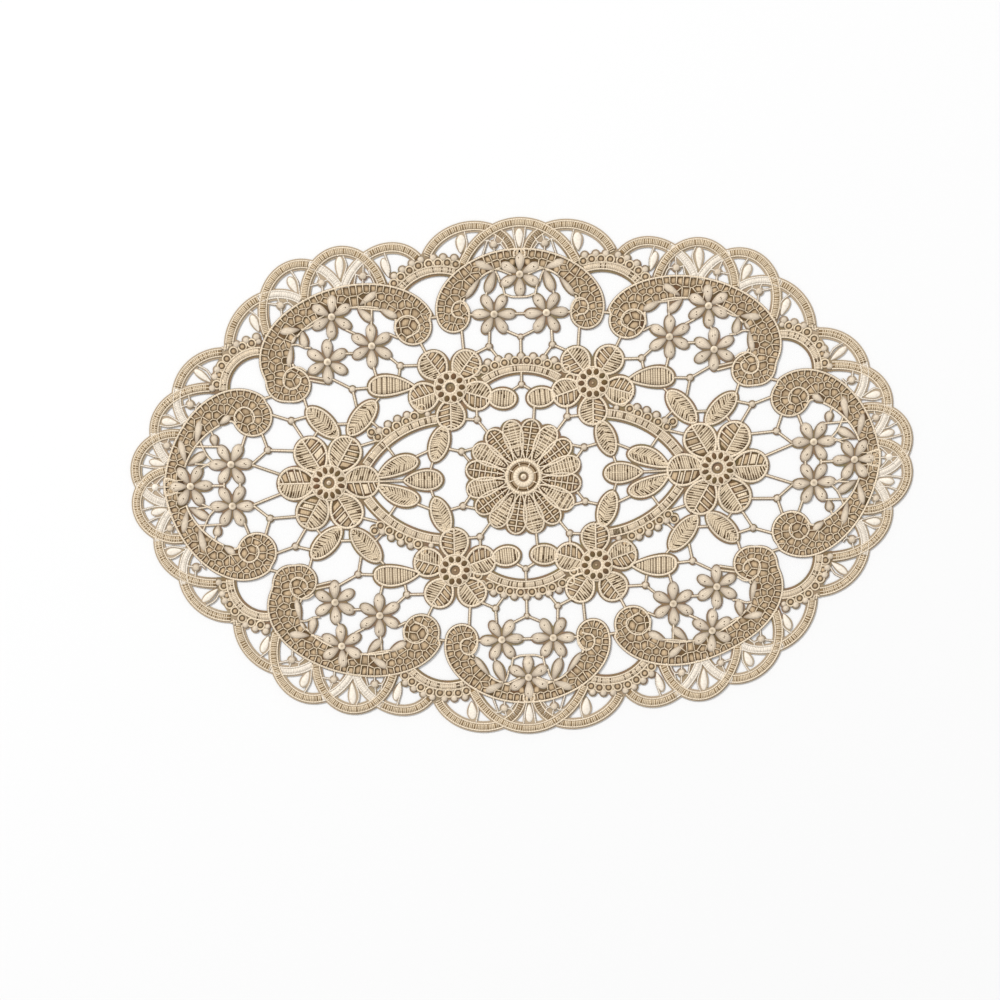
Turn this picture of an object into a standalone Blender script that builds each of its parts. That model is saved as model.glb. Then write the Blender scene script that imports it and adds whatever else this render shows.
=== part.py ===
"""Oval lace doily: one joined cloth of cords, tapes, flowers and scrolls, lying flat.

The cloth is drawn in millimetres in an even quarter layout, mirrored, laid with the
small unevenness of a mat spread by hand, and given its thickness and raised motifs.
"""
import bpy
import bmesh
from math import atan2, cos, exp, hypot, pi, radians, sin
from mathutils import Vector
from mathutils.geometry import delaunay_2d_cdt

MM = 0.001
HEM = 1.0            # flat cloth showing beyond every cord
EDGE_HEIGHT = 1.2    # height of the cloth along its edges
GAP_LEAST = 3.7      # gaps narrower than this are left as cloth
CORNER_LEAST = 1.9  # corners of an edge smaller than this are left out (mm2)
BAR_HALF = 1.25

# places where the mat lies a little out of true: x, y, reach, move x, move y
NUDGES = (
    (128.0, -122.0, 15.0, -1.2, 1.6),
    (73.0, -135.0, 20.0, 0.2, -1.0),
    (-165.0, -92.0, 22.0, -0.5, -0.6),
)

# copies: "xy" four quarters, "x" left and right, "y" top and bottom, "" one
# copies, centre x, centre y, half length, half width, turn, start, stop, outside, inside
BANDS = (
    ("y", 0.0, 101.2, 45.0, 37.0, 90, -62, 62, 3.1, 3.6),
    ("xy", 28.9, 123.7, 25.6, 20.4, -17, 17, 186, 3.1, 3.6),
    ("xy", 77.2, 106.8, 28.1, 22.5, -56, 64, 207, 3.1, 3.6),
    ("xy", 99.6, 102.4, 29.3, 23.0, 85, -81, 80, 3.1, 3.6),
    ("xy", 122.2, 95.6, 29.3, 24.1, 80, -101, 74, 3.1, 3.6),
    ("xy", 140.0, 81.0, 28.1, 25.1, -53, 40, 178, 3.1, 3.6),
    ("xy", 171.5, 50.8, 26.0, 24.5, -25, -17, 130, 3.1, 3.6),
    ("xy", 172.7, 27.2, 38.4, 28.1, 14, -50, 80, 3.1, 3.6),
    ("xy", 200.5, 10.2, 21.7, 19.8, -10, -72, 118, 3.1, 3.6),
    ("y", 0.0, 23.4, 39.2, 39.2, 0, 47, 133, 3.9, 3.9),
    ("xy", 42.7, -21.6, 56.6, 56.6, 0, 26, 83, 3.9, 3.9),
    ("xy", 45.8, 91.7, 28.5, 28.5, 0, 34, 110, 3.7, 3.7),
    ("xy", 149.1, 54.8, 21.2, 21.2, 0, -10, 94, 3.7, 3.7),
    ("y", 0.0, 23.4, 43.4, 43.4, 0, 61, 119, 3.0, 3.0),
    ("xy", 42.7, -21.6, 61.0, 61.0, 0, 50, 73, 3.0, 3.0),
    ("xy", 45.8, 91.7, 33.0, 33.0, 0, 36, 109, 3.0, 3.0),
    ("xy", 149.1, 54.8, 25.8, 25.8, 0, -2, 88, 3.0, 3.0),
)
# copies, outer (cx, cy, a, b, turn, start, stop), inner (the same)
SCROLLS = (
    ("xy", (8.3, 102.5, 40.2, 27.5, -15, 3, 118), (5.9, 95.5, 27.3, 25.4, -16, 33, 122)),
    ("xy", (98.6, 78.2, 51.3, 33.0, -15, -20, 176), (99.8, 79.7, 32.8, 18.7, -17, -11, 170)),
    ("xy", (170.4, 6.5, 49.4, 33.8, -71, 62, 196), (171.8, 14.0, 28.1, 17.6, -45, 16, 137)),
)
# copies, x, y, radius: scroll ends, beads, knots and small ring eyelets
DISCS = (
    ("xy", 38.0, 93.4, 9.2), ("xy", 61.2, 88.0, 10.3), ("xy", 130.3, 56.3, 9.6),
    ("xy", 135.5, 57.2, 10.2), ("xy", 154.3, 38.8, 11.0),
    ("", 0.0, 0.0, 28.5), ("xy", 40.8, 52.7, 12.5), ("x", 111.9, 0.0, 15.5),
    ("xy", 167.6, 11.9, 5.2), ("x", 191.2, 0.0, 5.2), ("xy", 14.9, 94.0, 5.2),
    ("xy", 85.0, 77.5, 5.2), ("xy", 110.5, 69.0, 5.2), ("xy", 107.4, 94.5, 5.2),
    ("y", 0.0, 116.5, 5.2),
    ("xy", 7.0, 69.0, 1.9), ("xy", 13.0, 68.0, 1.9), ("xy", 19.0, 66.3, 1.9),
    ("xy", 66.0, 37.5, 1.9), ("xy", 71.5, 35.5, 1.9), ("xy", 77.0, 32.5, 1.9),
    ("xy", 82.0, 29.0, 1.9), ("xy", 86.5, 27.0, 1.9), ("xy", 54.5, 38.6, 1.6),
    ("xy", 60.5, 38.0, 2.0),
    ("xy", 37.0, 126.5, 1.8), ("xy", 43.3, 127.0, 1.8), ("xy", 49.0, 127.0, 1.8),
    ("xy", 56.0, 126.0, 1.8), ("xy", 61.0, 124.0, 1.8), ("xy", 66.5, 120.5, 1.8),
    ("xy", 71.3, 117.0, 1.8),
    ("xy", 150.5, 84.0, 1.8), ("xy", 156.4, 82.3, 1.8), ("xy", 162.0, 80.0, 1.8),
    ("xy", 173.5, 66.0, 1.8), ("xy", 175.0, 62.0, 1.8), ("xy", 176.8, 55.5, 1.8),
    ("xy", 18.1, 75.6, 1.2), ("xy", 69.0, 65.8, 1.2), ("xy", 96.7, 53.2, 1.2),
    ("xy", 25.9, 33.8, 1.2), ("xy", 35.2, 15.7, 1.2), ("xy", 132.2, 36.0, 1.2),
    ("xy", 146.2, 19.6, 1.2), ("xy", 15.0, 136.0, 1.4), ("xy", 89.5, 118.0, 1.4),
    ("xy", 112.8, 115.5, 1.4), ("xy", 138.5, 101.0, 1.4), ("xy", 189.8, 46.0, 1.4),
    ("xy", 203.5, 24.5, 1.4), ("x", 212.0, 0.0, 1.4),
)
# copies, centre x, centre y, petals, first angle, start, tip radius, width, base, end
FLOWERS = (
    ("", 0.0, 0.0, 16, 12.5, 8.0, 33.3, 13.5, 0.9, 0.42),
    ("xy", 40.8, 52.7, 5, -90, 7.0, 24.6, 17.5, 0.5, 0.5),
    ("x", 111.9, 0.0, 6, 0, 8.0, 29.5, 19.5, 0.5, 0.5),
    ("xy", 167.6, 11.9, 6, 0, 0.0, 12.5, 5.8, 0.8, 0.5),
    ("x", 191.2, 0.0, 6, 0, 0.0, 12.5, 5.8, 0.8, 0.5),
    ("xy", 14.9, 94.0, 6, 0, 0.0, 12.5, 5.8, 0.8, 0.5),
    ("xy", 85.0, 77.5, 6, 30, 0.0, 12.5, 5.8, 0.8, 0.5),
    ("xy", 110.5, 69.0, 6, 30, 0.0, 12.5, 5.8, 0.8, 0.5),
    ("xy", 107.4, 94.5, 6, 30, 0.0, 12.5, 5.8, 0.8, 0.5),
    ("y", 0.0, 116.5, 6, 30, 0.0, 12.5, 5.8, 0.8, 0.5),
)
# copies, base x, base y, tip x, tip y, width, base roundness, end roundness, bend
LEAVES = (
    ("xy", 2.6, 44.8, 19.8, 46.3, 12.5, 0.5, 0.55, 0.0),
    ("xy", 44.3, 31.3, 51.6, 9.9, 12.0, 0.6, 0.6, 0.0),
    ("xy", 60.1, 11.8, 84.5, 2.0, 11.5, 0.5, 0.8, 1.5),
    ("x", 46.1, 0.0, 69.5, 0.0, 12.8, 0.5, 0.8, 0.0),
    ("xy", 83.6, 46.4, 100.0, 26.6, 12.5, 0.55, 0.6, 0.0),
    ("xy", 105.3, 25.6, 123.2, 43.2, 12.5, 0.6, 0.55, 0.0),
    ("xy", 60.0, 53.6, 88.0, 54.0, 13.0, 0.9, 0.45, 1.0),
    ("xy", 192.4, 13.5, 181.5, 15.7, 5.5, 0.9, 0.5, 0.0),
    ("xy", 186.4, 23.0, 175.0, 24.1, 5.0, 0.9, 0.5, 0.0),
    ("xy", 187.4, 23.5, 186.2, 38.0, 4.6, 1.0, 0.7, 0.0),
    ("xy", 193.2, 13.5, 194.2, 25.0, 4.0, 1.0, 0.7, 0.0),
    ("xy", 79.3, 98.3, 70.3, 93.5, 4.5, 0.9, 0.7, 0.0),
    ("xy", 94.6, 99.1, 85.4, 91.6, 4.5, 0.9, 0.5, 0.0),
    ("xy", 91.2, 101.1, 81.5, 108.0, 4.5, 0.9, 0.6, 0.0),
    ("xy", 124.7, 87.4, 124.3, 76.5, 5.5, 0.9, 0.5, 0.0),
    ("xy", 125.5, 87.8, 137.5, 86.7, 4.8, 0.9, 0.6, 0.0),
    ("xy", 131.5, 77.9, 133.5, 67.1, 3.6, 0.9, 0.9, 0.0),
    ("xy", 13.8, 119.5, 25.0, 123.5, 5.0, 0.9, 0.5, 0.0),
    ("xy", 13.8, 119.0, 18.6, 106.4, 5.5, 0.9, 0.5, 0.0),
    ("xy", 24.1, 111.8, 29.9, 102.9, 4.0, 0.9, 0.9, 0.0),
    ("y", 0.0, 133.0, 0.0, 142.5, 5.0, 0.8, 0.8, 0.0),
    ("xy", 33.0, 129.5, 32.5, 139.0, 5.5, 0.8, 0.8, 0.0),
    ("xy", 74.3, 116.5, 77.5, 127.0, 4.3, 0.8, 0.8, 0.0),
    ("xy", 102.5, 118.5, 102.0, 128.5, 3.8, 0.8, 0.8, 0.0),
    ("xy", 127.0, 110.5, 131.0, 117.3, 4.0, 0.8, 0.8, 0.0),
    ("xy", 149.0, 87.0, 153.0, 96.3, 4.5, 0.8, 0.8, 0.0),
    ("xy", 177.5, 59.0, 186.5, 66.3, 4.0, 0.8, 0.8, 0.0),
    ("xy", 197.5, 36.3, 205.5, 38.7, 4.0, 0.8, 0.8, 0.0),
    ("xy", 205.5, 13.4, 213.5, 14.6, 3.0, 0.8, 0.8, 0.0),
)
# copies, from x, from y, to x, to y
BARS = (
    ("y", 0.0, 69.0, 0.0, 80.6), ("xy", 0.0, 80.6, 5.4, 86.0),
    ("xy", 18.1, 75.6, 17.7, 84.1), ("xy", 18.1, 75.6, 14.0, 70.2),
    ("xy", 18.1, 75.6, 25.8, 72.0), ("xy", 33.6, 85.0, 32.9, 75.5),
    ("xy", 57.3, 78.8, 55.2, 74.4), ("xy", 69.0, 65.8, 58.6, 65.9),
    ("xy", 69.0, 65.8, 74.6, 70.6), ("xy", 69.0, 65.8, 70.0, 60.0),
    ("xy", 84.4, 65.7, 82.7, 59.2), ("xy", 96.7, 53.2, 87.2, 53.8),
    ("xy", 96.7, 53.2, 108.0, 59.2), ("xy", 96.7, 53.2, 94.7, 43.0),
    ("xy", 94.0, 84.5, 98.5, 86.8), ("xy", 108.2, 83.0, 110.1, 79.5),
    ("xy", 73.7, 83.6, 70.0, 81.8), ("xy", 112.2, 59.3, 121.5, 61.0),
    ("xy", 112.2, 57.0, 121.5, 59.0), ("y", 0.0, 53.3, 0.0, 60.6),
    ("xy", 0.0, 53.3, 5.0, 50.3), ("xy", 25.9, 33.8, 20.4, 26.7),
    ("xy", 25.9, 33.8, 26.0, 41.0), ("xy", 25.9, 33.8, 32.6, 34.3),
    ("xy", 35.2, 15.7, 29.0, 17.1), ("xy", 35.2, 15.7, 30.7, 9.8),
    ("xy", 35.2, 15.7, 42.4, 17.5), ("xy", 53.0, 16.9, 60.3, 15.7),
    ("xy", 52.0, 10.0, 53.4, 5.6), ("xy", 74.0, 14.4, 78.8, 21.2),
    ("xy", 86.6, 34.6, 82.3, 30.6), ("xy", 83.6, 23.4, 92.8, 20.8),
    ("xy", 122.6, 41.5, 124.6, 48.5), ("xy", 132.2, 36.0, 122.9, 38.4),
    ("xy", 132.2, 36.0, 144.0, 39.9), ("xy", 132.2, 36.0, 125.9, 25.8),
    ("xy", 146.2, 19.6, 129.5, 18.7), ("xy", 146.2, 19.6, 149.2, 28.8),
    ("xy", 146.2, 19.6, 155.4, 12.0), ("xy", 139.5, 5.5, 155.4, 11.4),
    ("xy", 158.7, 28.3, 161.2, 21.5), ("xy", 99.5, 30.9, 105.5, 30.9),
    ("xy", 99.9, 33.8, 105.0, 33.8), ("xy", 47.5, 93.3, 52.0, 92.7),
    ("xy", 144.0, 50.0, 147.5, 49.0), ("y", -4.0, 94.0, 4.0, 94.0),
    ("xy", 26.0, 94.0, 29.6, 94.0), ("xy", 81.6, 47.9, 84.4, 44.9),
    ("xy", 117.3, 29.6, 119.6, 26.6), ("x", 69.0, 0.0, 84.5, 0.0),
    ("x", 161.4, 0.0, 168.0, 0.0), ("x", 175.0, 0.0, 181.0, 0.0),
    ("xy", 95.5, 73.6, 100.5, 73.6), ("xy", 85.0, 88.5, 84.5, 98.0),
    ("xy", 15.0, 136.0, 14.5, 129.5), ("xy", 15.0, 136.0, 20.3, 137.2),
    ("xy", 15.0, 136.0, 11.4, 139.6), ("xy", 89.5, 118.0, 89.5, 111.0),
    ("xy", 89.5, 118.0, 90.0, 124.0), ("xy", 138.5, 101.0, 132.9, 99.0),
    ("xy", 189.8, 46.0, 189.0, 52.5), ("xy", 189.8, 46.0, 194.5, 46.0),
    ("xy", 189.8, 46.0, 186.4, 42.5), ("xy", 112.8, 115.5, 118.5, 116.0),
    ("xy", 112.8, 115.5, 113.3, 120.0), ("xy", 112.8, 115.5, 110.5, 120.0),
    ("xy", 203.5, 24.5, 199.0, 21.0), ("xy", 203.5, 24.5, 208.5, 26.0),
    ("x", 206.0, 0.0, 220.0, 0.0), ("y", 7.1, 40.6, 6.4, 31.0),
)


def oval(cx, cy, a, b, turn, start, stop, steps, grow=0.0):
    """Points along an oval, moved outward by grow."""
    out = []
    cos_turn, sin_turn = cos(radians(turn)), sin(radians(turn))
    for step in range(steps + 1):
        t = radians(start + (stop - start) * step / steps)
        nx, ny = cos(t) / a, sin(t) / b
        far = grow / hypot(nx, ny)
        x, y = a * cos(t) + nx * far, b * sin(t) + ny * far
        out.append((cx + x * cos_turn - y * sin_turn, cy + x * sin_turn + y * cos_turn))
    return out


def leaf(x0, y0, x1, y1, width, base, end, bend, steps, grow):
    """A leaf from its base to its tip; 0.5 is a round end and 1 a pointed one."""
    length = hypot(x1 - x0, y1 - y0)
    ux, uy = (x1 - x0) / length, (y1 - y0) / length
    peak = base / (base + end)
    top = peak ** base * (1 - peak) ** end
    sides = ([], [])
    for step in range(steps + 1):
        s = (1 - cos(pi * step / steps)) / 2
        along = s * (length + 2 * grow) - grow
        half = (width / 2 + grow) * s ** base * (1 - s) ** end / top
        bow = bend * 4 * s * (1 - s)
        for side, sign in zip(sides, (1, -1)):
            across = bow - sign * half
            side.append((x0 + ux * along - uy * across, y0 + uy * along + ux * across))
    return sides[0] + sides[1][-2:0:-1]


def bar(x0, y0, x1, y1):
    """A straight bar of two threads."""
    length = hypot(x1 - x0, y1 - y0)
    ux, uy = (x1 - x0) / length * BAR_HALF, (y1 - y0) / length * BAR_HALF
    return [(x0 + uy, y0 - ux), (x1 + uy, y1 - ux), (x1 - uy, y1 + ux), (x0 - uy, y0 + ux)]


def copies(kind, loop):
    """The loop and its mirror images, all counter-clockwise."""
    signs = [(1, 1)]
    if "x" in kind:
        signs.append((-1, 1))
    if "y" in kind:
        signs += [(sx, -1) for sx, _ in signs]
    out = []
    for sx, sy in signs:
        turned = [(sx * x, sy * y) for x, y in loop]
        out.append(turned if sx * sy > 0 else turned[::-1])
    return out


def motif_loops():
    """Every motif of the cloth as a closed loop with its hem."""
    loops = []
    for kind, cx, cy, a, b, turn, start, stop, outside, inside in BANDS:
        steps = max(8, round(max(a, b) * radians(stop - start) / 3.4))
        outer = oval(cx, cy, a, b, turn, start, stop, steps, outside)
        inner = oval(cx, cy, a, b, turn, start, stop, steps, -inside)
        loops += copies(kind, outer + inner[::-1])
    for kind, outer, inner in SCROLLS:
        near = oval(*inner, 20, -HEM)
        loops += copies(kind, oval(*outer, 36, HEM) + near[::-1])
    for kind, x, y, radius in DISCS:
        steps = max(8, round(radius * 2.5))
        loops += copies(kind, oval(x, y, radius, radius, 7, 0, 360, steps, HEM)[:-1])
    for kind, x, y, count, first, start, tip, width, base, end in FLOWERS:
        for petal in range(count):
            angle = radians(first + 360 * petal / count)
            dx, dy = cos(angle), sin(angle)
            shape = leaf(x + start * dx, y + start * dy, x + tip * dx, y + tip * dy,
                         width, base, end, 0.0, 8, HEM)
            loops += copies(kind, shape)
    for kind, x0, y0, x1, y1, width, base, end, bend in LEAVES:
        steps = 8 if width > 6 else 6
        loops += copies(kind, leaf(x0, y0, x1, y1, width, base, end, bend, steps, HEM))
    for kind, x0, y0, x1, y1 in BARS:
        loops += copies(kind, bar(x0, y0, x1, y1))
    return loops


def crest_points():
    """Raised points (x, y, height) on the tapes, scrolls, petals and leaves."""
    out = []

    def add(kind, x, y, height):
        for (point,) in copies(kind, [(x, y)]):
            out.append((point[0], point[1], height))

    for kind, cx, cy, a, b, turn, start, stop, _, _ in BANDS[:13]:
        steps = max(2, round(a * radians(stop - start) / 14.0))
        for x, y in oval(cx, cy, a, b, turn, start, stop, steps)[1:-1]:
            add(kind, x, y, 1.9)
    for kind, outer, inner in SCROLLS:
        for (x0, y0), (x1, y1) in zip(oval(*outer, 6), oval(*inner, 6)):
            add(kind, (x0 + x1) / 2, (y0 + y1) / 2, 1.6)
    for kind, x, y, count, first, start, tip, width, base, end in FLOWERS:
        add(kind, x, y, 2.0)
        for petal in range(count):
            angle = radians(first + 360 * petal / count)
            reach = start + (tip - start) * 0.6
            add(kind, x + reach * cos(angle), y + reach * sin(angle), 2.2)
    for kind, x0, y0, x1, y1, width, base, end, bend in LEAVES:
        for share in ((0.5,) if width < 6 else (0.3, 0.7)):
            add(kind, x0 + (x1 - x0) * share, y0 + (y1 - y0) * share, 2.0)
    return out


def triangles_of(loops, extra=()):
    """Triangles filling the loops; a triangle outside them all has no owner."""
    points, faces = [], []
    for loop in loops:
        faces.append(list(range(len(points), len(points) + len(loop))))
        points += [Vector(p) for p in loop]
    points += [Vector(p) for p in extra]
    found = delaunay_2d_cdt(points, [], faces, 0, 0.01, True)
    return found[0], found[2], found[3], found[5]


def edge_loops(triangles, spot):
    """Closed loops of vertex numbers round a set of counter-clockwise triangles."""
    sides = {pair for a, b, c in triangles for pair in ((a, b), (b, c), (c, a))}
    steps = {}
    for a, b in sides:
        if (b, a) not in sides:
            steps.setdefault(a, []).append(b)
    loops = []
    while steps:
        start = min(steps, key=lambda k: (len(steps[k]), k))
        loop, here = [start], take(steps, start, None, spot)
        while here != start:
            last, loop = loop[-1], loop + [here]
            here = take(steps, here, last, spot)
        loops.append(loop)
    return loops


def take(steps, here, last, spot):
    """Take the next step on from here, keeping to the right where two loops touch."""
    ways = steps.pop(here)
    if len(ways) > 1:
        back = atan2(spot[last][1] - spot[here][1], spot[last][0] - spot[here][0])
        ways.sort(key=lambda k: (atan2(spot[k][1] - spot[here][1],
                                       spot[k][0] - spot[here][0]) - back) % (2 * pi))
        steps[here] = ways[1:]
    return ways[0]


def area_of(loop):
    """Signed area of a loop of points."""
    return sum(p[0] * q[1] - q[0] * p[1] for p, q in zip(loop, loop[1:] + loop[:1])) / 2


def length_of(loop):
    """Length of a closed loop of points."""
    return sum(hypot(p[0] - q[0], p[1] - q[1]) for p, q in zip(loop, loop[1:] + loop[:1]))


def corner_sizes(loop):
    """Area of the corner at each point of a closed loop."""
    trios = zip(loop[-1:] + loop[:-1], loop, loop[1:] + loop[:1])
    return [abs((q[0] - p[0]) * (r[1] - p[1]) - (q[1] - p[1]) * (r[0] - p[0])) / 2
            for p, q, r in trios]


def thinned(loop):
    """A closed loop without the points that hardly bend it."""
    loop = list(loop)
    while len(loop) > 4:
        sizes = corner_sizes(loop)
        least = min(sizes)
        if least > CORNER_LEAST:
            break
        loop.pop(sizes.index(least))
    return loop


def cloth_loops():
    """The outline of the cloth and of every open gap, outline first."""
    verts, triangles, _, owners = triangles_of(motif_loops())
    cloth = [tri for tri, owner in zip(triangles, owners) if owner]
    loops = [[(verts[k][0], verts[k][1]) for k in loop] for loop in edge_loops(cloth, verts)]
    outline = max(loops, key=area_of)
    gaps = [loop for loop in loops
            if area_of(loop) < 0 and 4 * -area_of(loop) / length_of(loop) > GAP_LEAST]
    return [thinned(outline)] + [thinned(gap) for gap in gaps]


def lie(x, y):
    """Where a point of the even layout comes to lie, in the plane of the table."""
    u, v = x / 100, y / 100
    dx = 0.2 * u + 1.15 * v - 0.15 * u * u + 0.9 * u * v + 0.25 * v * v + 0.2 * u * v * v
    dy = 0.2 * u - 0.2 * v + 0.6 * u * u - 0.6 * u * v + 0.4 * v * v - 0.3 * u * v * v
    x, y = x + dx + 0.1 * v * (u * u + v * v), y + dy + 0.1 * u * u * u - 0.6
    for at_x, at_y, reach, move_x, move_y in NUDGES:
        share = exp(-((x - at_x) ** 2 + (y - at_y) ** 2) / (2 * reach * reach))
        x, y = x + move_x * share, y + move_y * share
    return x + 0.54, y - 0.3


def build_cloth():
    """The whole cloth as one closed solid with a flat underside."""
    loops = cloth_loops()
    crests = crest_points()
    gaps = [gap[::-1] for gap in loops[1:]]
    verts, triangles, origins, owners = triangles_of(
        [loops[0]] + gaps, [(x, y) for x, y, _ in crests])
    cloth = [tri for tri, owner in zip(triangles, owners) if owner == [0]]
    used = sorted({k for tri in cloth for k in tri})
    edges = {k for loop in edge_loops(cloth, verts) for k in loop}
    rims = sum(len(loop) for loop in loops)
    mesh = bmesh.new()
    top, under = {}, {}
    for k in used:
        x, y = lie(verts[k][0], verts[k][1])
        height = EDGE_HEIGHT
        if k not in edges:
            height = max(crests[o - rims][2] for o in origins[k])
        top[k] = mesh.verts.new((x * MM, y * MM, height * MM))
    under_tris = triangles_of([loops[0]] + gaps)
    for k in edges:
        under[k] = mesh.verts.new((top[k].co.x, top[k].co.y, 0.0))
    spots = {(round(verts[k][0], 4), round(verts[k][1], 4)): k for k in edges}
    low = [spots[(round(p[0], 4), round(p[1], 4))] if (round(p[0], 4), round(p[1], 4)) in spots
           else None for p in under_tris[0]]
    for tri in cloth:
        mesh.faces.new([top[k] for k in tri])
    for tri, owner in zip(under_tris[1], under_tris[3]):
        if owner == [0]:
            mesh.faces.new([under[low[k]] for k in reversed(tri)])
    for loop in edge_loops(cloth, verts):
        for a, b in zip(loop, loop[1:] + loop[:1]):
            mesh.faces.new((top[a], under[a], under[b], top[b]))
    bmesh.ops.triangulate(mesh, faces=mesh.faces)
    return mesh


def main():
    """Clear the scene and make the doily."""
    for old in list(bpy.data.objects):
        bpy.data.objects.remove(old, do_unlink=True)
    mesh = build_cloth()
    data = bpy.data.meshes.new("lace")
    mesh.to_mesh(data)
    mesh.free()
    lace = bpy.data.objects.new("lace", data)
    bpy.context.scene.collection.objects.link(lace)
    cotton = bpy.data.materials.new("cream_cotton")
    cotton.use_nodes = True
    cotton.node_tree.nodes["Principled BSDF"].inputs["Base Color"].default_value = (0.72, 0.6, 0.45, 1)
    data.materials.append(cotton)


main()
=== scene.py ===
"""Oval lace doily, dressed with its cords, stitches, net and raised blossoms."""

import random
from math import atan2, cos, hypot, pi, radians, sin, tau

import bmesh
import bpy
import numpy as np
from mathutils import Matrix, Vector
from mathutils.geometry import delaunay_2d_cdt


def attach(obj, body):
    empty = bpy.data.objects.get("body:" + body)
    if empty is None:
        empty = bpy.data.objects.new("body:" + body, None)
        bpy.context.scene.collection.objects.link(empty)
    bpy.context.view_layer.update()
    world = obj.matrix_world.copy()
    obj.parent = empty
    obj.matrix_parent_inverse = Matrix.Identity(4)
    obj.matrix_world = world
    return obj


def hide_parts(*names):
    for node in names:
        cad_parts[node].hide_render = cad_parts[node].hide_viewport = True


bl_info = {
    "name": "Lace doily",
    "version": (1, 0, 0),
    "blender": (4, 5, 0),
    "location": "View3D > Sidebar > Lace",
    "description": "Stitches an oval lace doily over its flat solid",
    "category": "Add Mesh",
}

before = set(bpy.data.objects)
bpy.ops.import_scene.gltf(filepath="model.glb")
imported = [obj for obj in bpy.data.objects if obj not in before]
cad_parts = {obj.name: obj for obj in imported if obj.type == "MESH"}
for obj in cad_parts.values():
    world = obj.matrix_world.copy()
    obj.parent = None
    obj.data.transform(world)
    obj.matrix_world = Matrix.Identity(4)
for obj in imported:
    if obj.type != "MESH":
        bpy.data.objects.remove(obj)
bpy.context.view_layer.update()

MM = 0.001           # sizes and places below are in millimetres
GAP_LEAST = 1.3      # gaps narrower than this stay covered by the ground sheet
JOINED = 0.01        # points closer than this are one
SHEET_TOP = 0.55     # top of the ground sheet
CORD_FOOT = 0.4      # cords start this high, sunk in the ground sheet
PAD_FOOT = 0.45      # tapes and pads start this high
STITCH_FOOT = 0.7    # stitches and ribs start this high, sunk in their pads
ARCH_RAILS = (-2.05, 1.85)   # the edge cords of an arch, from its middle line
ARCH_GROUND = (2.3, 2.75)    # the ground under an arch, outside and inside that line
TAPE_GROUND = 0.8    # the ground beyond the sides of a tape
BAR_GROUND = 0.12    # half the ground under a bar, without the hem
THREAD_GROUND = 0.68  # half the ground under a thread
EVEN_STEP = 1.1      # distance between the points along arches and tapes

# the last shift, which brings the middle of the mat to the origin
CENTRING = (0.54, -0.3)
# places where the mat lies a little out of true: x, y, reach, move x, move y
NUDGES = (
    (128.0, -122.0, 15.0, -1.2, 1.6),
    (73.0, -135.0, 20.0, 0.2, -1.0),
    (-165.0, -92.0, 22.0, -0.5, -0.6),
)

# copies: "xy" four quarters, "x" left and right, "y" top and bottom, "" one
# copies, centre x, centre y, half length, half width, turn, start, stop, order over others
ARCHES = (
    ("y", 0.0, 101.2, 45.0, 37.0, 90, -59, 59, 9),
    ("xy", 28.9, 123.7, 25.6, 20.4, -17, 23, 180, 5),
    ("xy", 77.2, 106.8, 28.1, 22.5, -56, 71, 203, 4),
    ("xy", 99.6, 102.4, 29.3, 23.0, 85, -81, 76, 9),
    ("xy", 122.2, 95.6, 29.3, 24.1, 80, -101, 67, 7),
    ("xy", 140.0, 81.0, 28.1, 25.1, -53, 44, 173, 5),
    ("xy", 171.5, 50.8, 26.0, 24.5, -25, -11, 125, 4),
    ("xy", 172.7, 27.2, 38.4, 28.1, 14, -46, 75, 6),
    ("xy", 200.5, 10.2, 21.7, 19.8, -10, -70, 112, 8),
)
DARK_ARCH = 1        # this arch keeps its colour where others pass over it
RIBBED_ARCH = 6      # arches from this one on have a cord along their middle
# half sizes of the border's oval in metres, and the shares of it where the ground lightens
BORDER_OVAL = (0.2255, 0.1485)
BORDER_SHARES = (0.86, 0.93)
# copies, centre x, centre y, radius, start, stop, half tape
TAPES = (
    ("y", 0.0, 23.4, 39.2, 50, 130, 2.1),
    ("xy", 42.7, -21.6, 56.6, 28, 82, 2.3),
    ("xy", 45.8, 91.7, 28.5, 37, 107, 2.1),
    ("xy", 149.1, 54.8, 21.2, -8, 92, 2.1),
)
RIBBED_TAPE = 2      # tapes from this one on have a cord along their middle
# copies, centre x, centre y, radius, start, stop, half width: lace under the beads
BEAD_STRIPS = (
    ("y", 0.0, 23.4, 43.4, 61, 119, 3.0),
    ("xy", 42.7, -21.6, 61.0, 50, 73, 3.0),
    ("xy", 45.8, 91.7, 33.0, 36, 109, 3.0),
    ("xy", 149.1, 54.8, 25.8, -2, 88, 3.0),
)
# outer (cx, cy, a, b, turn, start, stop), inner (the same); ends as (x, y, radius)
SCROLLS = (
    ((8.3, 102.5, 40.2, 27.5, -15, 3, 118), (5.9, 95.5, 27.3, 25.4, -16, 33, 122),
     ((38.0, 93.4, 9.2),)),
    ((98.6, 78.2, 51.3, 33.0, -15, -20, 176), (99.8, 79.7, 32.8, 18.7, -17, -11, 170),
     ((61.2, 88.0, 10.3), (130.3, 56.3, 9.6), (135.5, 57.2, 10.2))),
    ((170.4, 6.5, 49.4, 33.8, -71, 62, 196), (171.8, 14.0, 28.1, 17.6, -45, 16, 137),
     ((154.3, 38.8, 11.0),)),
)
# middle of each curled end, its radius and where its cells start
CURLS = (
    (34.3, 97.1, 4.7, 150), (63.9, 88.2, 6.1, 40),
    (130.9, 59.3, 5.4, 60), (158.9, 39.1, 5.6, -20),
)
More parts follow.
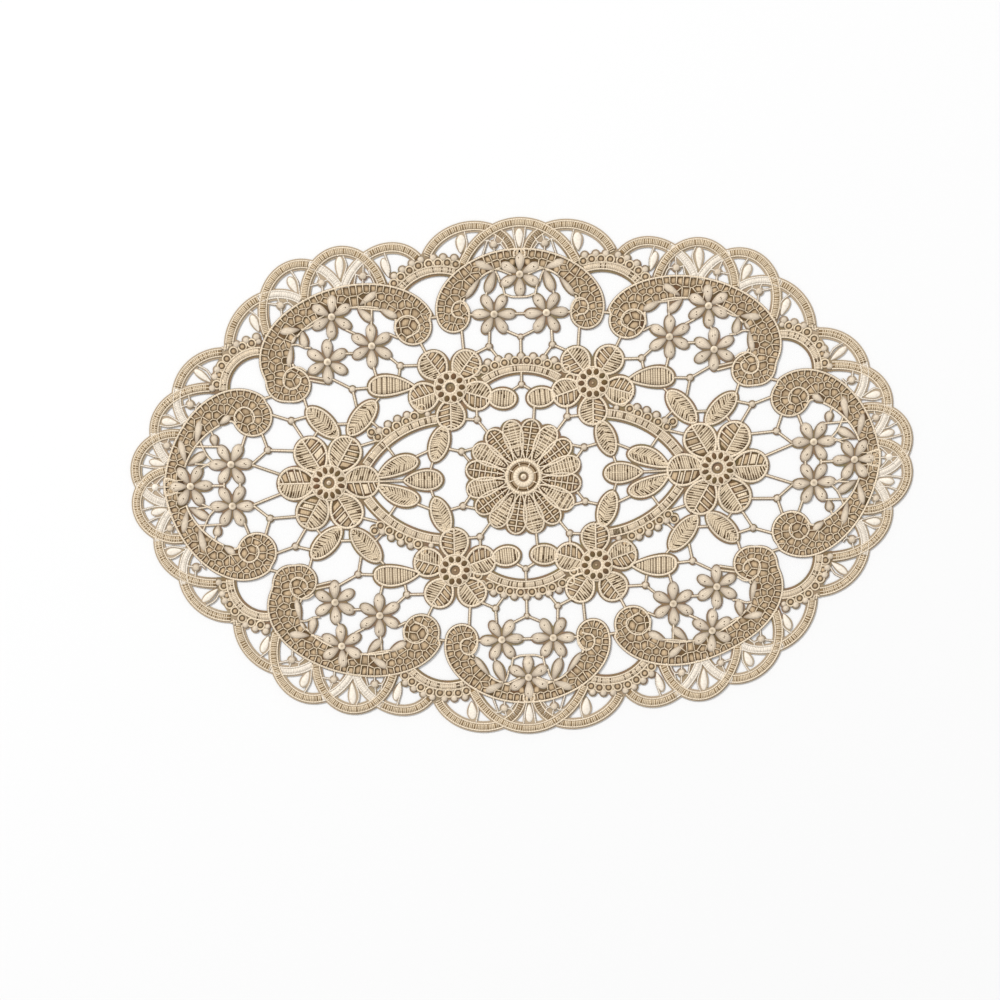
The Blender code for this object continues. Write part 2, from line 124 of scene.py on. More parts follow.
# the edge cord of each scroll winds on into its curled end along these points
WINDINGS = (
    ((28.9, 93.5), (29.3, 97.5), (31.2, 100.9), (34.2, 102.0), (37.2, 100.7), (38.8, 97.8),
     (38.7, 94.9), (37.0, 93.0), (35.0, 92.7), (31.4, 91.6)),
    ((71.6, 85.0), (71.2, 89.2), (69.2, 92.4), (66.0, 94.1), (62.3, 94.0), (59.2, 92.0),
     (57.5, 88.8), (58.0, 85.8), (60.4, 84.0), (65.0, 81.6)),
    ((122.5, 63.8), (125.8, 66.0), (129.4, 66.4), (132.8, 65.0), (135.3, 62.1), (136.0, 58.6),
     (134.9, 55.4), (131.8, 53.9), (128.4, 54.9), (126.3, 57.6), (126.2, 60.2), (128.2, 60.8)),
    ((163.8, 35.0), (164.7, 38.6), (163.3, 42.0), (160.2, 44.2), (156.9, 43.9), (154.4, 41.8),
     (153.2, 38.8), (153.6, 36.4), (155.0, 34.8)),
)
# copies, centre x, centre y, petals, first angle, start, tip radius, width, base, end
ROSETTE = ("", 0.0, 0.0, 16, 12.5, 8.0, 33.3, 13.5, 0.9, 0.42)
FLOWERS = (
    ("xy", 40.8, 52.7, 5, -90, 7.0, 24.6, 17.5, 0.5, 0.5),
    ("x", 111.9, 0.0, 6, 0, 8.0, 29.5, 19.5, 0.5, 0.5),
)
# flower, holes, radii of its ring, its button and its holes' circle, hole's half length and width
HEARTS = (
    (FLOWERS[0], 10, 9.2, 3.6, 6.6, 2.15, 1.85),
    (FLOWERS[1], 12, 10.1, 4.1, 7.3, 2.35, 1.6),
)
# copies, centre x, centre y, first angle
BLOSSOMS = (
    ("xy", 167.6, 11.9, 0), ("x", 191.2, 0.0, 0), ("xy", 14.9, 94.0, 0),
    ("xy", 85.0, 77.5, 30), ("xy", 110.5, 69.0, 30), ("xy", 107.4, 94.5, 30),
    ("y", 0.0, 116.5, 30),
)
BLOSSOM_PETALS = 6
BLOSSOM_DISC = 5.2                            # ground under the heart of a blossom
PETAL_GROUND = (0.0, 12.4, 5.3, 0.8, 0.5)     # start, tip, width, base, end of its petals' ground
PETAL_COVER = (0.8, 12.3, 6.0, 0.8, 0.5)      # the same of the raised petals, seen from above
# copies, base x, base y, tip x, tip y, width, base roundness, end roundness, bend, stitch
LEAVES = (
    ("xy", 2.6, 44.8, 19.8, 46.3, 12.5, 0.5, 0.55, 0.0, "across"),
    ("xy", 44.3, 31.3, 51.6, 9.9, 12.0, 0.6, 0.6, 0.0, "rib"),
    ("xy", 60.1, 11.8, 84.5, 2.0, 11.5, 0.5, 0.8, 1.5, "rib"),
    ("x", 46.1, 0.0, 69.5, 0.0, 12.8, 0.5, 0.8, 0.0, "across"),
    ("xy", 83.6, 46.4, 100.0, 26.6, 12.5, 0.55, 0.6, 0.0, "rib"),
    ("xy", 105.3, 25.6, 123.2, 43.2, 12.5, 0.6, 0.55, 0.0, "rib"),
    ("xy", 60.0, 53.6, 88.0, 54.0, 13.0, 0.9, 0.45, 1.0, "across"),
)
# copies, base x, base y, tip x, tip y, width
BUDS = (
    ("xy", 192.2, 12.3, 181.6, 18.6, 4.8), ("xy", 176.0, 22.4, 177.0, 28.8, 4.2),
    ("xy", 187.2, 23.6, 184.4, 37.4, 4.4), ("xy", 193.4, 12.8, 196.2, 26.4, 4.2),
    ("xy", 80.4, 98.9, 70.3, 93.6, 4.5), ("xy", 92.6, 99.3, 84.6, 91.7, 4.6),
    ("xy", 91.4, 100.9, 81.7, 108.0, 4.5), ("xy", 124.7, 87.4, 122.9, 77.4, 4.6),
    ("xy", 125.5, 87.8, 137.0, 86.5, 4.8), ("xy", 130.6, 79.4, 132.8, 66.6, 3.4),
    ("xy", 14.0, 119.4, 25.2, 123.8, 5.0), ("xy", 14.0, 119.0, 18.8, 106.4, 5.4),
    ("xy", 22.4, 115.2, 30.8, 103.8, 3.4), ("xy", 173.6, 34.8, 167.2, 39.4, 4.2),
    ("xy", 127.4, 85.2, 130.6, 80.0, 1.8),
)
BUD_ROUND = (0.9, 0.6)        # roundness of the base and the end of a bud
# the same, lighter ones in the webs of the border
WEB_BUDS = (
    ("y", 0.0, 132.0, 0.0, 142.8, 5.0),
    ("xy", 33.4, 129.4, 32.8, 139.8, 5.6), ("xy", 74.3, 116.5, 77.5, 127.0, 4.3),
    ("xy", 102.2, 116.0, 102.0, 128.8, 4.8), ("xy", 126.8, 108.6, 131.0, 117.4, 4.8),
    ("xy", 149.0, 87.0, 153.0, 96.3, 4.5), ("xy", 177.5, 59.0, 186.5, 66.3, 4.0),
    ("xy", 197.5, 36.3, 206.3, 37.6, 4.8), ("xy", 205.0, 12.6, 214.0, 14.8, 4.2),
)
# copies, x, y of the points of a fine thread in the webs of the border
WEB_THREADS = (
    ("xy", (1.6, 132.2), (2.6, 137.0), (3.4, 142.6)),
    ("xy", (14.5, 134.0), (10.6, 134.6), (8.6, 137.8)), ("xy", (8.2, 131.2), (10.6, 134.6)),
    ("xy", (14.5, 134.0), (14.2, 129.8)), ("xy", (14.5, 134.0), (18.0, 136.4), (20.6, 135.6)),
    ("xy", (14.5, 134.0), (13.4, 138.4)), ("xy", (18.0, 136.4), (19.8, 131.0)),
    ("xy", (31.0, 130.0), (29.6, 134.5), (30.8, 140.4)),
    ("xy", (74.0, 118.6), (74.2, 123.0), (76.0, 128.4)),
    ("xy", (89.0, 117.4), (84.6, 117.2), (83.0, 113.8)),
    ("xy", (89.0, 117.4), (93.0, 118.4), (94.4, 121.6)),
    ("xy", (93.0, 118.4), (94.2, 112.8)), ("xy", (89.0, 117.4), (88.6, 123.8)),
    ("xy", (89.0, 117.4), (89.2, 111.8)), ("xy", (84.6, 117.2), (85.6, 121.0)),
    ("xy", (99.6, 119.0), (98.2, 123.5), (99.8, 128.4)),
    ("xy", (112.6, 114.0), (108.6, 115.6), (106.6, 113.2)), ("xy", (112.6, 114.0), (116.8, 113.0)),
    ("xy", (112.6, 114.0), (112.0, 109.4)), ("xy", (112.6, 114.0), (114.6, 118.6)),
    ("xy", (108.6, 115.6), (109.6, 119.8)),
    ("xy", (125.6, 110.6), (126.2, 115.0), (128.6, 119.0)),
    ("xy", (136.2, 101.6), (132.0, 103.2), (130.0, 101.6)), ("xy", (136.2, 101.6), (140.8, 102.4)),
    ("xy", (136.2, 101.6), (135.6, 96.4)), ("xy", (136.2, 101.6), (137.8, 106.0)),
    ("xy", (132.0, 103.2), (132.8, 106.2)),
    ("xy", (148.2, 90.0), (149.0, 95.0), (152.8, 98.0)),
    ("xy", (176.6, 61.6), (179.4, 65.8), (185.0, 69.0)),
    ("xy", (189.6, 46.6), (186.2, 45.4), (184.2, 47.6)), ("xy", (189.6, 46.6), (193.8, 45.6)),
    ("xy", (189.6, 46.6), (190.4, 52.4)), ("xy", (186.2, 45.4), (187.0, 42.0)),
    ("xy", (198.4, 34.9), (202.6, 34.2), (207.2, 35.2)),
    ("xy", (198.6, 38.4), (202.6, 40.8), (207.0, 40.2)),
    ("xy", (203.8, 23.6), (200.4, 21.6)), ("xy", (203.8, 23.6), (207.4, 25.4)),
    ("xy", (203.8, 23.6), (202.6, 27.6)), ("xy", (206.4, 17.0), (211.0, 17.4), (215.8, 19.6)),
    ("xy", (206.2, 11.2), (211.0, 11.0), (216.6, 12.2)),
    ("x", (205.6, 0.0), (220.0, 0.0)), ("xy", (211.4, 0.6), (208.0, 4.6), (206.2, 6.0)),
    ("xy", (211.4, 0.6), (214.2, 4.4)),
)
# copies, x, y of the points of a cord that ties petals and buds together
TIES = (
    ("xy", (172.6, 22.2), (178.4, 22.4), (186.4, 22.6)),
    ("xy", (183.4, 22.2), (181.6, 18.0), (178.6, 14.6)),
    ("xy", (177.2, 28.4), (178.4, 31.2)), ("xy", (180.4, 11.9), (184.6, 12.4)),
    ("xy", (181.8, 11.9), (185.0, 10.2)),
    ("xy", (118.4, 89.8), (121.6, 88.2), (125.0, 87.8)), ("xy", (119.4, 77.2), (123.2, 77.4)),
    ("xy", (123.6, 77.6), (127.2, 79.2), (131.0, 79.0)),
    ("xy", (93.0, 99.4), (98.0, 99.6)), ("xy", (78.0, 97.8), (84.8, 98.4), (92.4, 99.4)),
    ("xy", (9.4, 118.4), (11.8, 119.4), (14.0, 119.3)),
    ("xy", (13.8, 118.6), (12.2, 115.4), (11.4, 112.0)), ("xy", (9.8, 110.6), (9.0, 106.6)),
    ("y", (-8.4, 105.2), (-4.4, 103.7), (4.4, 103.7), (8.4, 105.2)),
    ("xy", (18.9, 106.8), (19.3, 105.0)), ("xy", (14.6, 118.8), (19.4, 117.2), (23.0, 114.2)),
)
# copies, x, y, radius
BEADS = (
    ("xy", 7.0, 69.0, 1.9), ("xy", 13.0, 68.0, 1.9), ("xy", 19.0, 66.3, 1.9),
    ("y", 0.0, 69.5, 1.9),
    ("xy", 66.0, 37.5, 1.9), ("xy", 71.5, 35.5, 1.9), ("xy", 77.0, 32.5, 1.9),
    ("xy", 82.0, 29.0, 1.9), ("xy", 37.0, 126.5, 1.9), ("xy", 43.3, 127.0, 1.9),
    ("xy", 49.0, 127.0, 1.9), ("xy", 56.0, 126.0, 1.9), ("xy", 61.0, 124.0, 1.9),
    ("xy", 66.5, 120.5, 1.9), ("xy", 71.3, 117.0, 1.9), ("xy", 150.5, 84.0, 1.9),
    ("xy", 156.4, 82.3, 1.9), ("xy", 162.0, 80.0, 1.9), ("xy", 173.5, 66.0, 1.9),
    ("xy", 175.0, 62.0, 1.9), ("xy", 176.8, 55.5, 1.9),
    ("xy", 18.1, 75.6, 1.6), ("xy", 69.0, 65.8, 1.7), ("xy", 96.7, 53.2, 1.7),
    ("xy", 25.9, 33.8, 1.7), ("xy", 35.2, 15.7, 1.7), ("xy", 132.2, 36.0, 1.7),
    ("xy", 146.2, 19.6, 1.7), ("xy", 14.5, 134.0, 2.1), ("xy", 89.0, 117.4, 2.1),
    ("xy", 112.6, 114.0, 2.0), ("xy", 136.2, 101.6, 2.1), ("xy", 189.6, 46.6, 2.1),
    ("xy", 203.8, 23.6, 2.0), ("x", 211.4, 0.0, 2.1), ("y", 0.0, 53.3, 1.5),
    ("y", 0.0, 80.6, 1.3), ("xy", 54.2, 37.8, 1.5), ("xy", 149.4, 81.4, 1.5),
)
# beads beyond this share of this oval are the pale knots of the border's webs
KNOT_OVAL = (225, 146)
KNOT_SHARE = 0.93
# copies, x, y: small ring eyelets beside the tapes
EYELETS = (
    ("xy", 25.6, 61.6), ("xy", 27.8, 56.0), ("xy", 57.6, 41.0), ("xy", 61.8, 36.8),
    ("xy", 3.3, 66.8), ("xy", 9.5, 66.0), ("xy", 15.0, 64.6), ("xy", 21.0, 62.5),
    ("xy", 66.5, 34.0), ("xy", 72.0, 31.5), ("xy", 78.0, 28.5), ("xy", 83.0, 25.5),
    ("xy", 86.5, 28.3), ("xy", 36.2, 123.0), ("xy", 41.0, 124.0), ("xy", 46.3, 124.0),
    ("xy", 51.5, 123.6), ("xy", 57.5, 122.6), ("xy", 62.5, 120.0), ("xy", 67.5, 116.5),
    ("xy", 71.5, 112.8), ("xy", 153.4, 80.5), ("xy", 158.7, 78.7), ("xy", 163.8, 76.2),
    ("xy", 167.8, 72.0), ("xy", 170.8, 68.0), ("xy", 172.5, 63.0), ("xy", 174.0, 57.5),
)
# copies, x, y, radius: round lace under scroll ends, flowers, beads and knots
DISCS = (
    ("xy", 38.0, 93.4, 9.2), ("xy", 61.2, 88.0, 10.3), ("xy", 130.3, 56.3, 9.6),
    ("xy", 135.5, 57.2, 10.2), ("xy", 154.3, 38.8, 11.0),
    ("", 0.0, 0.0, 28.5), ("xy", 40.8, 52.7, 12.5), ("x", 111.9, 0.0, 15.5),
    ("xy", 54.5, 38.6, 1.6), ("xy", 60.5, 38.0, 2.0), ("xy", 86.5, 27.0, 1.9),
)
# copies, from x, from y, to x, to y
BARS = (
    ("y", 0.0, 69.0, 0.0, 80.6), ("xy", 0.0, 80.6, 7.8, 84.2),
    ("xy", 18.1, 75.6, 17.7, 84.1), ("xy", 18.1, 75.6, 13.4, 69.4),
    ("xy", 18.1, 75.6, 25.8, 72.0), ("xy", 33.6, 85.0, 32.7, 73.6),
    ("xy", 57.3, 78.8, 54.0, 72.2), ("xy", 69.0, 65.8, 58.6, 65.9),
    ("xy", 69.0, 65.8, 74.6, 70.6), ("xy", 69.0, 65.8, 70.0, 60.0),
    ("xy", 84.4, 65.7, 82.7, 59.2), ("xy", 96.7, 53.2, 87.2, 53.8),
    ("xy", 96.7, 53.2, 108.0, 59.2), ("xy", 96.7, 53.2, 94.7, 43.0),
    ("xy", 94.0, 84.5, 99.6, 87.3), ("xy", 108.2, 83.0, 110.1, 79.5),
    ("xy", 74.7, 84.1, 70.0, 81.8), ("xy", 112.2, 59.3, 121.5, 61.0),
    ("xy", 112.2, 57.0, 121.5, 59.0), ("y", 0.0, 53.3, 0.0, 60.6),
    ("xy", 0.0, 53.3, 5.0, 50.3), ("xy", 25.9, 33.8, 19.6, 25.7),
    ("xy", 25.9, 33.8, 26.0, 41.0), ("xy", 25.9, 33.8, 32.6, 34.3),
    ("xy", 35.2, 15.7, 27.7, 17.4), ("xy", 35.2, 15.7, 30.7, 9.8),
    ("xy", 35.2, 15.7, 42.4, 17.5), ("xy", 53.0, 17.3, 61.4, 13.7),
    ("xy", 52.0, 10.0, 53.4, 5.6), ("xy", 74.0, 14.4, 78.8, 21.2),
    ("xy", 86.6, 34.6, 82.3, 30.6), ("xy", 83.6, 23.4, 92.8, 20.8),
    ("xy", 122.6, 41.5, 124.6, 48.5), ("xy", 132.2, 36.0, 122.9, 38.4),
    ("xy", 132.2, 36.0, 144.0, 39.9), ("xy", 132.2, 36.0, 125.9, 25.8),
    ("xy", 146.2, 19.6, 129.5, 18.7), ("xy", 146.2, 19.6, 149.2, 28.8),
    ("xy", 146.2, 19.6, 155.4, 12.0), ("xy", 139.5, 5.5, 155.4, 11.4),
    ("xy", 158.7, 28.3, 161.2, 21.5), ("xy", 99.4, 33.5, 106.0, 33.5),
    ("xy", 47.5, 93.3, 52.0, 92.7),
    ("xy", 142.5, 50.4, 148.2, 48.8), ("y", -4.0, 94.0, 4.0, 94.0),
    ("xy", 26.0, 94.0, 29.6, 94.0), ("xy", 81.6, 47.9, 84.4, 44.9),
    ("xy", 117.3, 29.6, 119.6, 26.6), ("x", 69.0, 0.0, 84.5, 0.0),
    ("x", 162.8, -1.6, 162.8, 1.6), ("x", 171.6, 0.0, 181.0, 0.0),
    ("x", 171.9, -1.6, 171.9, 1.6),
    ("xy", 95.5, 73.6, 100.5, 73.6), ("xy", 85.0, 88.5, 84.5, 98.0),
    ("y", 7.1, 40.6, 6.4, 31.0),
    ("xy", 168.2, 80.0, 168.9, 76.6), ("xy", 166.6, 80.4, 167.4, 77.2),
    ("xy", 170.6, 78.3, 167.6, 77.4),
)


# -------------------------------------------------------------------- layout

def signs(kind):
    """The mirror signs of the copies of a motif."""
    out = [(1, 1)]
    if "x" in kind:
        out.append((-1, 1))
    if "y" in kind:
        out += [(sx, -1) for sx, _ in out]
    return out


def lie(points):
    """Where points of the even layout come to lie on the table, in millimetres."""
    points = np.asarray(points, float)
    x, y = points[:, 0].copy(), points[:, 1].copy()
    # a slow drift out of true over the whole mat, with u and v in hundreds of millimetres
    u, v = x / 100, y / 100
    dx = 0.2 * u + 1.15 * v - 0.15 * u * u + 0.9 * u * v + 0.25 * v * v + 0.2 * u * v * v
    dy = 0.2 * u - 0.2 * v + 0.6 * u * u - 0.6 * u * v + 0.4 * v * v - 0.3 * u * v * v
    x, y = x + dx + 0.1 * v * (u * u + v * v), y + dy + 0.1 * u * u * u - 0.6
    for at_x, at_y, reach, move_x, move_y in NUDGES:
        share = np.exp(-((x - at_x) ** 2 + (y - at_y) ** 2) / (2 * reach * reach))
        x, y = x + move_x * share, y + move_y * share
    return np.column_stack([x, y]) + CENTRING


def oval(cx, cy, a, b, turn, start, stop, steps, grow=0.0):
    """Points along an oval, moved outward by grow."""
    t = np.radians(start + (stop - start) * np.arange(steps + 1) / steps)
    nx, ny = np.cos(t) / a, np.sin(t) / b
    far = grow / np.hypot(nx, ny)
    x, y = a * np.cos(t) + nx * far, b * np.sin(t) + ny * far
    c, s = cos(radians(turn)), sin(radians(turn))
    return np.column_stack([cx + x * c - y * s, cy + x * s + y * c])


def circle(x, y, radius, steps, turn=0, grow=0.0):
    """A closed circle of points, counter-clockwise, moved outward by grow."""
    return oval(x, y, radius, radius, turn, 0, 360, steps, grow)[:-1]


class Leaf:
    """A leaf or petal shape with its own directions along and across."""

    def __init__(self, x0, y0, x1, y1, width, base, end, bend=0.0):
        self.length = hypot(x1 - x0, y1 - y0)
        self.root = np.array((x0, y0))
        self.along = np.array((x1 - x0, y1 - y0)) / self.length
        self.left = np.array((-self.along[1], self.along[0]))
        self.width, self.base, self.end, self.bend = width, base, end, bend

    def half(self, s):
        """Half width at a share s of the length."""
        peak = self.base / (self.base + self.end)
        top = peak ** self.base * (1 - peak) ** self.end
        return self.width / 2 * s ** self.base * (1 - s) ** self.end / top

    def spot(self, s, t, inset=0.0):
        """The point a share s along and t across, -1 on the right and 1 on the left."""
        s = min(max(s, 0.0), 1.0)
        across = t * max(self.half(s) - inset, 0.0) + self.bend * 4 * s * (1 - s)
        return self.root + self.along * self.length * s + self.left * across

    def outline(self, steps, grow=0.0):
        """The closed outline, counter-clockwise, grown by a rim."""
        sides = ([], [])
        for step in range(steps + 1):
            s = (1 - cos(pi * step / steps)) / 2
            along = s * (self.length + 2 * grow) - grow
            half = self.half(s) * (self.width + 2 * grow) / self.width
            bow = self.bend * 4 * s * (1 - s)
            for side, sign in zip(sides, (1, -1)):
                side.append(self.root + self.along * along + self.left * (bow - sign * half))
        return np.array(sides[0] + sides[1][-2:0:-1])


def petals(row):
    """The petals of a flower, counter-clockwise from its first angle."""
    _, x, y, count, first, start, tip, width, base, end = row
    out = []
    for k in range(count):
        c, s = cos(radians(first + 360 * k / count)), sin(radians(first + 360 * k / count))
        out.append(Leaf(x + start * c, y + start * s, x + tip * c, y + tip * s, width, base, end))
    return out


def bud_leaf(row):
    """The shape of a bud."""
    return Leaf(*row[1:6], *BUD_ROUND)


def blossom_petals(row, shape):
    """The petals of a blossom, of the shape (start, tip, width, base, end)."""
    kind, x, y, first = row
    return petals((kind, x, y, BLOSSOM_PETALS, first) + shape)


def bar_loop(x0, y0, x1, y1, half):
    """A straight bar as a closed loop."""
    length = hypot(x1 - x0, y1 - y0)
    ux, uy = (x1 - x0) / length * half, (y1 - y0) / length * half
    return np.array([(x0 + uy, y0 - ux), (x1 + uy, y1 - ux),
                     (x1 - uy, y1 + ux), (x0 - uy, y0 + ux)])


# --------------------------------------------------------------------- paths

def heading(x, y):
    """The direction of (x, y), in degrees."""
    return atan2(y, x) * 180 / pi


def distances(path):
    """How far along a path each of its points is."""
    return np.concatenate([[0.0], np.cumsum(np.hypot(*np.diff(path, axis=0).T))])


def even(loop, step):
    """A closed loop of points spaced evenly."""
    loop = np.vstack([loop, loop[:1]])
    far = distances(loop)
    at = np.linspace(0, far[-1], int(far[-1] / step) + 1)[:-1]
    return np.column_stack([np.interp(at, far, loop[:, 0]), np.interp(at, far, loop[:, 1])])


def curve(points, step):
    """A smooth path through points, spaced by step."""
    points = np.asarray(points, float)
    points = np.vstack([2 * points[0] - points[1], points, 2 * points[-1] - points[-2]])
    out = []
    for a, b, c, d in zip(points, points[1:], points[2:], points[3:]):
        count = max(1, round(np.hypot(*(c - b)) / step))
        for k in range(count):
            t = k / count
            out.append(0.5 * (2 * b + (c - a) * t + (2 * a - 5 * b + 4 * c - d) * t * t
                              + (3 * b - a - 3 * c + d) * t ** 3))
    return np.array(out + [points[-2]])


def runs(keep):
    """Stretches of a path where keep holds, as (first, last) with at least three points."""
    edges = np.flatnonzero(np.diff(np.concatenate([[0], np.asarray(keep, int), [0]])))
    return [(a, b) for a, b in zip(edges[::2], edges[1::2]) if b - a > 2]


def inside(loop, point):
    """Whether a point lies inside a closed loop."""
    x, y = loop[:, 0], loop[:, 1]
    x2, y2 = np.roll(x, -1), np.roll(y, -1)
    cross = (y > point[1]) != (y2 > point[1])
    with np.errstate(divide="ignore", invalid="ignore"):
        at = x + (point[1] - y) * (x2 - x) / (y2 - y)
    return bool(np.count_nonzero(cross & (point[0] < at)) % 2)


def banded(point, strips, more):
    """Whether a point of the first quarter lies on a round strip, or within more of it."""
    past = 4
    for _, cx, cy, r, start, stop, half in strips:
        x, y = point[0] - cx, point[1] - cy
        if abs(hypot(x, y) - r) < half + more and start - past < heading(x, y) < stop + past:
            return True
    return False


def clip(edge, a, b):
    """The part of a thread from a to b that is inside an edge, or None."""
    a, b = np.array(a), np.array(b)
    in_a, in_b = inside(edge, a), inside(edge, b)
    if in_a and in_b:
        return a, b
    if not in_a and not in_b:
        return None
    if in_b:
        a, b = b, a
    near, far = 0.0, 1.0
    for _ in range(8):
        middle = (near + far) / 2
        if inside(edge, a + (b - a) * middle):
            near = middle
        else:
            far = middle
    return a, a + (b - a) * near


# ------------------------------------------------------ one cloth from loops

def arc_band(arc, outside, within):
    """The closed loop between two lines, outside an arc and within it."""
    return np.vstack([oval(*arc, outside), oval(*arc, -within)[::-1]])


def scroll_band(outer, inner, hem=0.0):
    """The closed loop of a scroll without its ends, between its outer and inner arcs."""
    return np.vstack([oval(*outer, 70, hem), oval(*inner, 44, -hem)[::-1]])


def motif_rows(hem):
    """Every motif but the bars and threads, as (copies, closed loop)."""
    rows = []
    outside, within = ARCH_GROUND
    for kind, cx, cy, a, b, turn, start, stop, _ in ARCHES:
        steps = round(a * radians(stop - start) / 1.5)
        arc = (cx, cy, a, b, turn, start - 4, stop + 4, steps)
        rows.append((kind, arc_band(arc, outside + hem, within + hem)))
    for table, more in ((TAPES, TAPE_GROUND + hem), (BEAD_STRIPS, 0.0)):
        for kind, cx, cy, r, start, stop, half in table:
            arc = (cx, cy, r, r, 0, start - 3, stop + 3, 40)
            rows.append((kind, arc_band(arc, half + more, half + more)))
    rows += [("xy", scroll_band(outer, inner, hem)) for outer, inner, _ in SCROLLS]
    for kind, x, y, r in DISCS + BEADS:
        rows.append((kind, circle(x, y, r, max(14, round(r * 4)), 7, hem)))
    for kind, x, y, _ in BLOSSOMS:
        rows.append((kind, circle(x, y, BLOSSOM_DISC, 20, 0, hem)))
    for row in (ROSETTE,) + FLOWERS:
        rows += [(row[0], leaf.outline(16, hem)) for leaf in petals(row)]
    for row in BLOSSOMS:
        rows += [(row[0], leaf.outline(12, hem)) for leaf in blossom_petals(row, PETAL_GROUND)]
    rows += [(row[0], Leaf(*row[1:9]).outline(16, hem)) for row in LEAVES]
    rows += [(row[0], bud_leaf(row).outline(12, hem)) for row in BUDS]
    rows += [(row[0], bud_leaf(row).outline(12, 0.45)) for row in WEB_BUDS]
    return rows


def run_on(table):
    """Threads of a table with each loose end carried on until it meets a motif."""
    step, farthest, sunk, tied = 0.3, 5.4, 0.4, 0.9
    loops = [loop for _, loop in motif_rows(0.0)]
    low = np.array([loop.min(0) for loop in loops])
    high = np.array([loop.max(0) for loop in loops])
    spots = [spot for _, *path in WEB_THREADS + TIES for spot in path]
    rows = []
    for kind, *path in table:
        path = [np.array(spot) for spot in path]
        for end, last in ((0, 1), (-1, -2)):
            if sum(hypot(*(path[end] - spot)) < tied for spot in spots) > 1:
                continue
            way = (path[end] - path[last]) / hypot(*(path[end] - path[last]))
            for count in range(round(farthest / step) + 1):
                spot = path[end] + step * count * way
                near = np.flatnonzero(((low <= spot) & (spot <= high)).all(1))
                if any(inside(loops[k], spot) for k in near):
                    path[end] = spot + (sunk * way if count else 0.0)
                    break
        rows.append((kind, path))
    return rows


def all_loops(hem):
    """Every motif, bar and thread of the lace as a closed loop, with its mirror images."""
    rows = motif_rows(hem)
    rows += [(row[0], bar_loop(*row[1:], BAR_GROUND + hem)) for row in BARS]
    for kind, path in run_on(WEB_THREADS + TIES):
        rows += [(kind, bar_loop(*a, *b, THREAD_GROUND)) for a, b in zip(path, path[1:])]
    loops = []
    for kind, loop in rows:
        for sx, sy in signs(kind):
            turned = loop * (sx, sy)
            loops.append(turned if sx * sy > 0 else turned[::-1])
    return loops


def triangles_of(loops):
    """Vertices and triangles filling the loops, and the loops that own each triangle."""
    points, faces = [], []
    for loop in loops:
        faces.append(list(range(len(points), len(points) + len(loop))))
        points += [Vector((float(x), float(y))) for x, y in loop]
    found = delaunay_2d_cdt(points, [], faces, 0, JOINED, True)
    return found[0], found[2], found[5]


def edge_loops(triangles, spot):
    """Closed loops of vertex numbers round a set of counter-clockwise triangles."""
    sides = {pair for a, b, c in triangles for pair in ((a, b), (b, c), (c, a))}
    steps = {}
    for a, b in sides:
        if (b, a) not in sides:
            steps.setdefault(a, []).append(b)
    loops = []
    while steps:
        start = min(steps, key=lambda k: (len(steps[k]), k))
        loop, here = [start], take(steps, start, None, spot)
        while here != start:
            last, loop = loop[-1], loop + [here]
            here = take(steps, here, last, spot)
        loops.append(loop)
    return loops


def take(steps, here, last, spot):
    """Take the next step on from here, keeping to the right where two loops touch."""
    ways = steps.pop(here)
    if len(ways) > 1:
        back = atan2(spot[last][1] - spot[here][1], spot[last][0] - spot[here][0])
        ways.sort(key=lambda k: (atan2(spot[k][1] - spot[here][1],
                                       spot[k][0] - spot[here][0]) - back) % tau)
        steps[here] = ways[1:]
    return ways[0]


def area_of(loop):
    """Signed area of a loop of points."""
    return sum(p[0] * q[1] - q[0] * p[1] for p, q in zip(loop, loop[1:] + loop[:1])) / 2


def length_of(loop):
    """Length of a closed loop of points."""
    return sum(hypot(p[0] - q[0], p[1] - q[1]) for p, q in zip(loop, loop[1:] + loop[:1]))


def lace_loops(hem, gap_least):
    """The outline of the lace and its gaps, outline first.

    A gap is as wide as four times its area over the length of its edge.
    """
    verts, triangles, owners = triangles_of(all_loops(hem))
    cloth = [tri for tri, owner in zip(triangles, owners) if owner]
    loops = [[(verts[k][0], verts[k][1]) for k in loop] for loop in edge_loops(cloth, verts)]
    outline = max(loops, key=area_of)
    gaps = [loop for loop in loops
            if area_of(loop) < 0 and 4 * -area_of(loop) / length_of(loop) > gap_least]
    return [outline] + gaps


def scroll_edges():
    """Outline, triangles and vertices of each scroll with its curled ends, one quarter."""
    edges = []
    for outer, inner, ends in SCROLLS:
        loops = [scroll_band(outer, inner)] + [circle(x, y, r, 40) for x, y, r in ends]
        verts, triangles, owners = triangles_of(loops)
        shape = [tri for tri, owner in zip(triangles, owners) if owner]
        rings = [[(verts[k][0], verts[k][1]) for k in loop] for loop in edge_loops(shape, verts)]
        edges.append((np.array(max(rings, key=area_of)), shape, verts))
    return edges


def raised_shapes():
    """Outlines of the raised petals and buds about the first quarter."""
    rows = [(row[0], bud_leaf(row)) for row in BUDS]
    for row in BLOSSOMS:
        rows += [(row[0], leaf) for leaf in blossom_petals(row, PETAL_COVER)]
    shapes = [leaf.outline(10) * copy for kind, leaf in rows for copy in signs(kind)]
    return [shape for shape in shapes if shape[:, 0].mean() > -16 and shape[:, 1].mean() > -8]


# --------------------------------------------------------------- thread work

# cross-sections of a cord, from its left foot over the top: half widths out, heights up
ROUND = np.array([(-1.0, 0.0), (-0.74, 0.62), (0.0, 1.0), (0.74, 0.62), (1.0, 0.0)])
FLAT = np.array([(-1.0, 0.0), (-1.0, 1.0), (1.0, 1.0), (1.0, 0.0)])


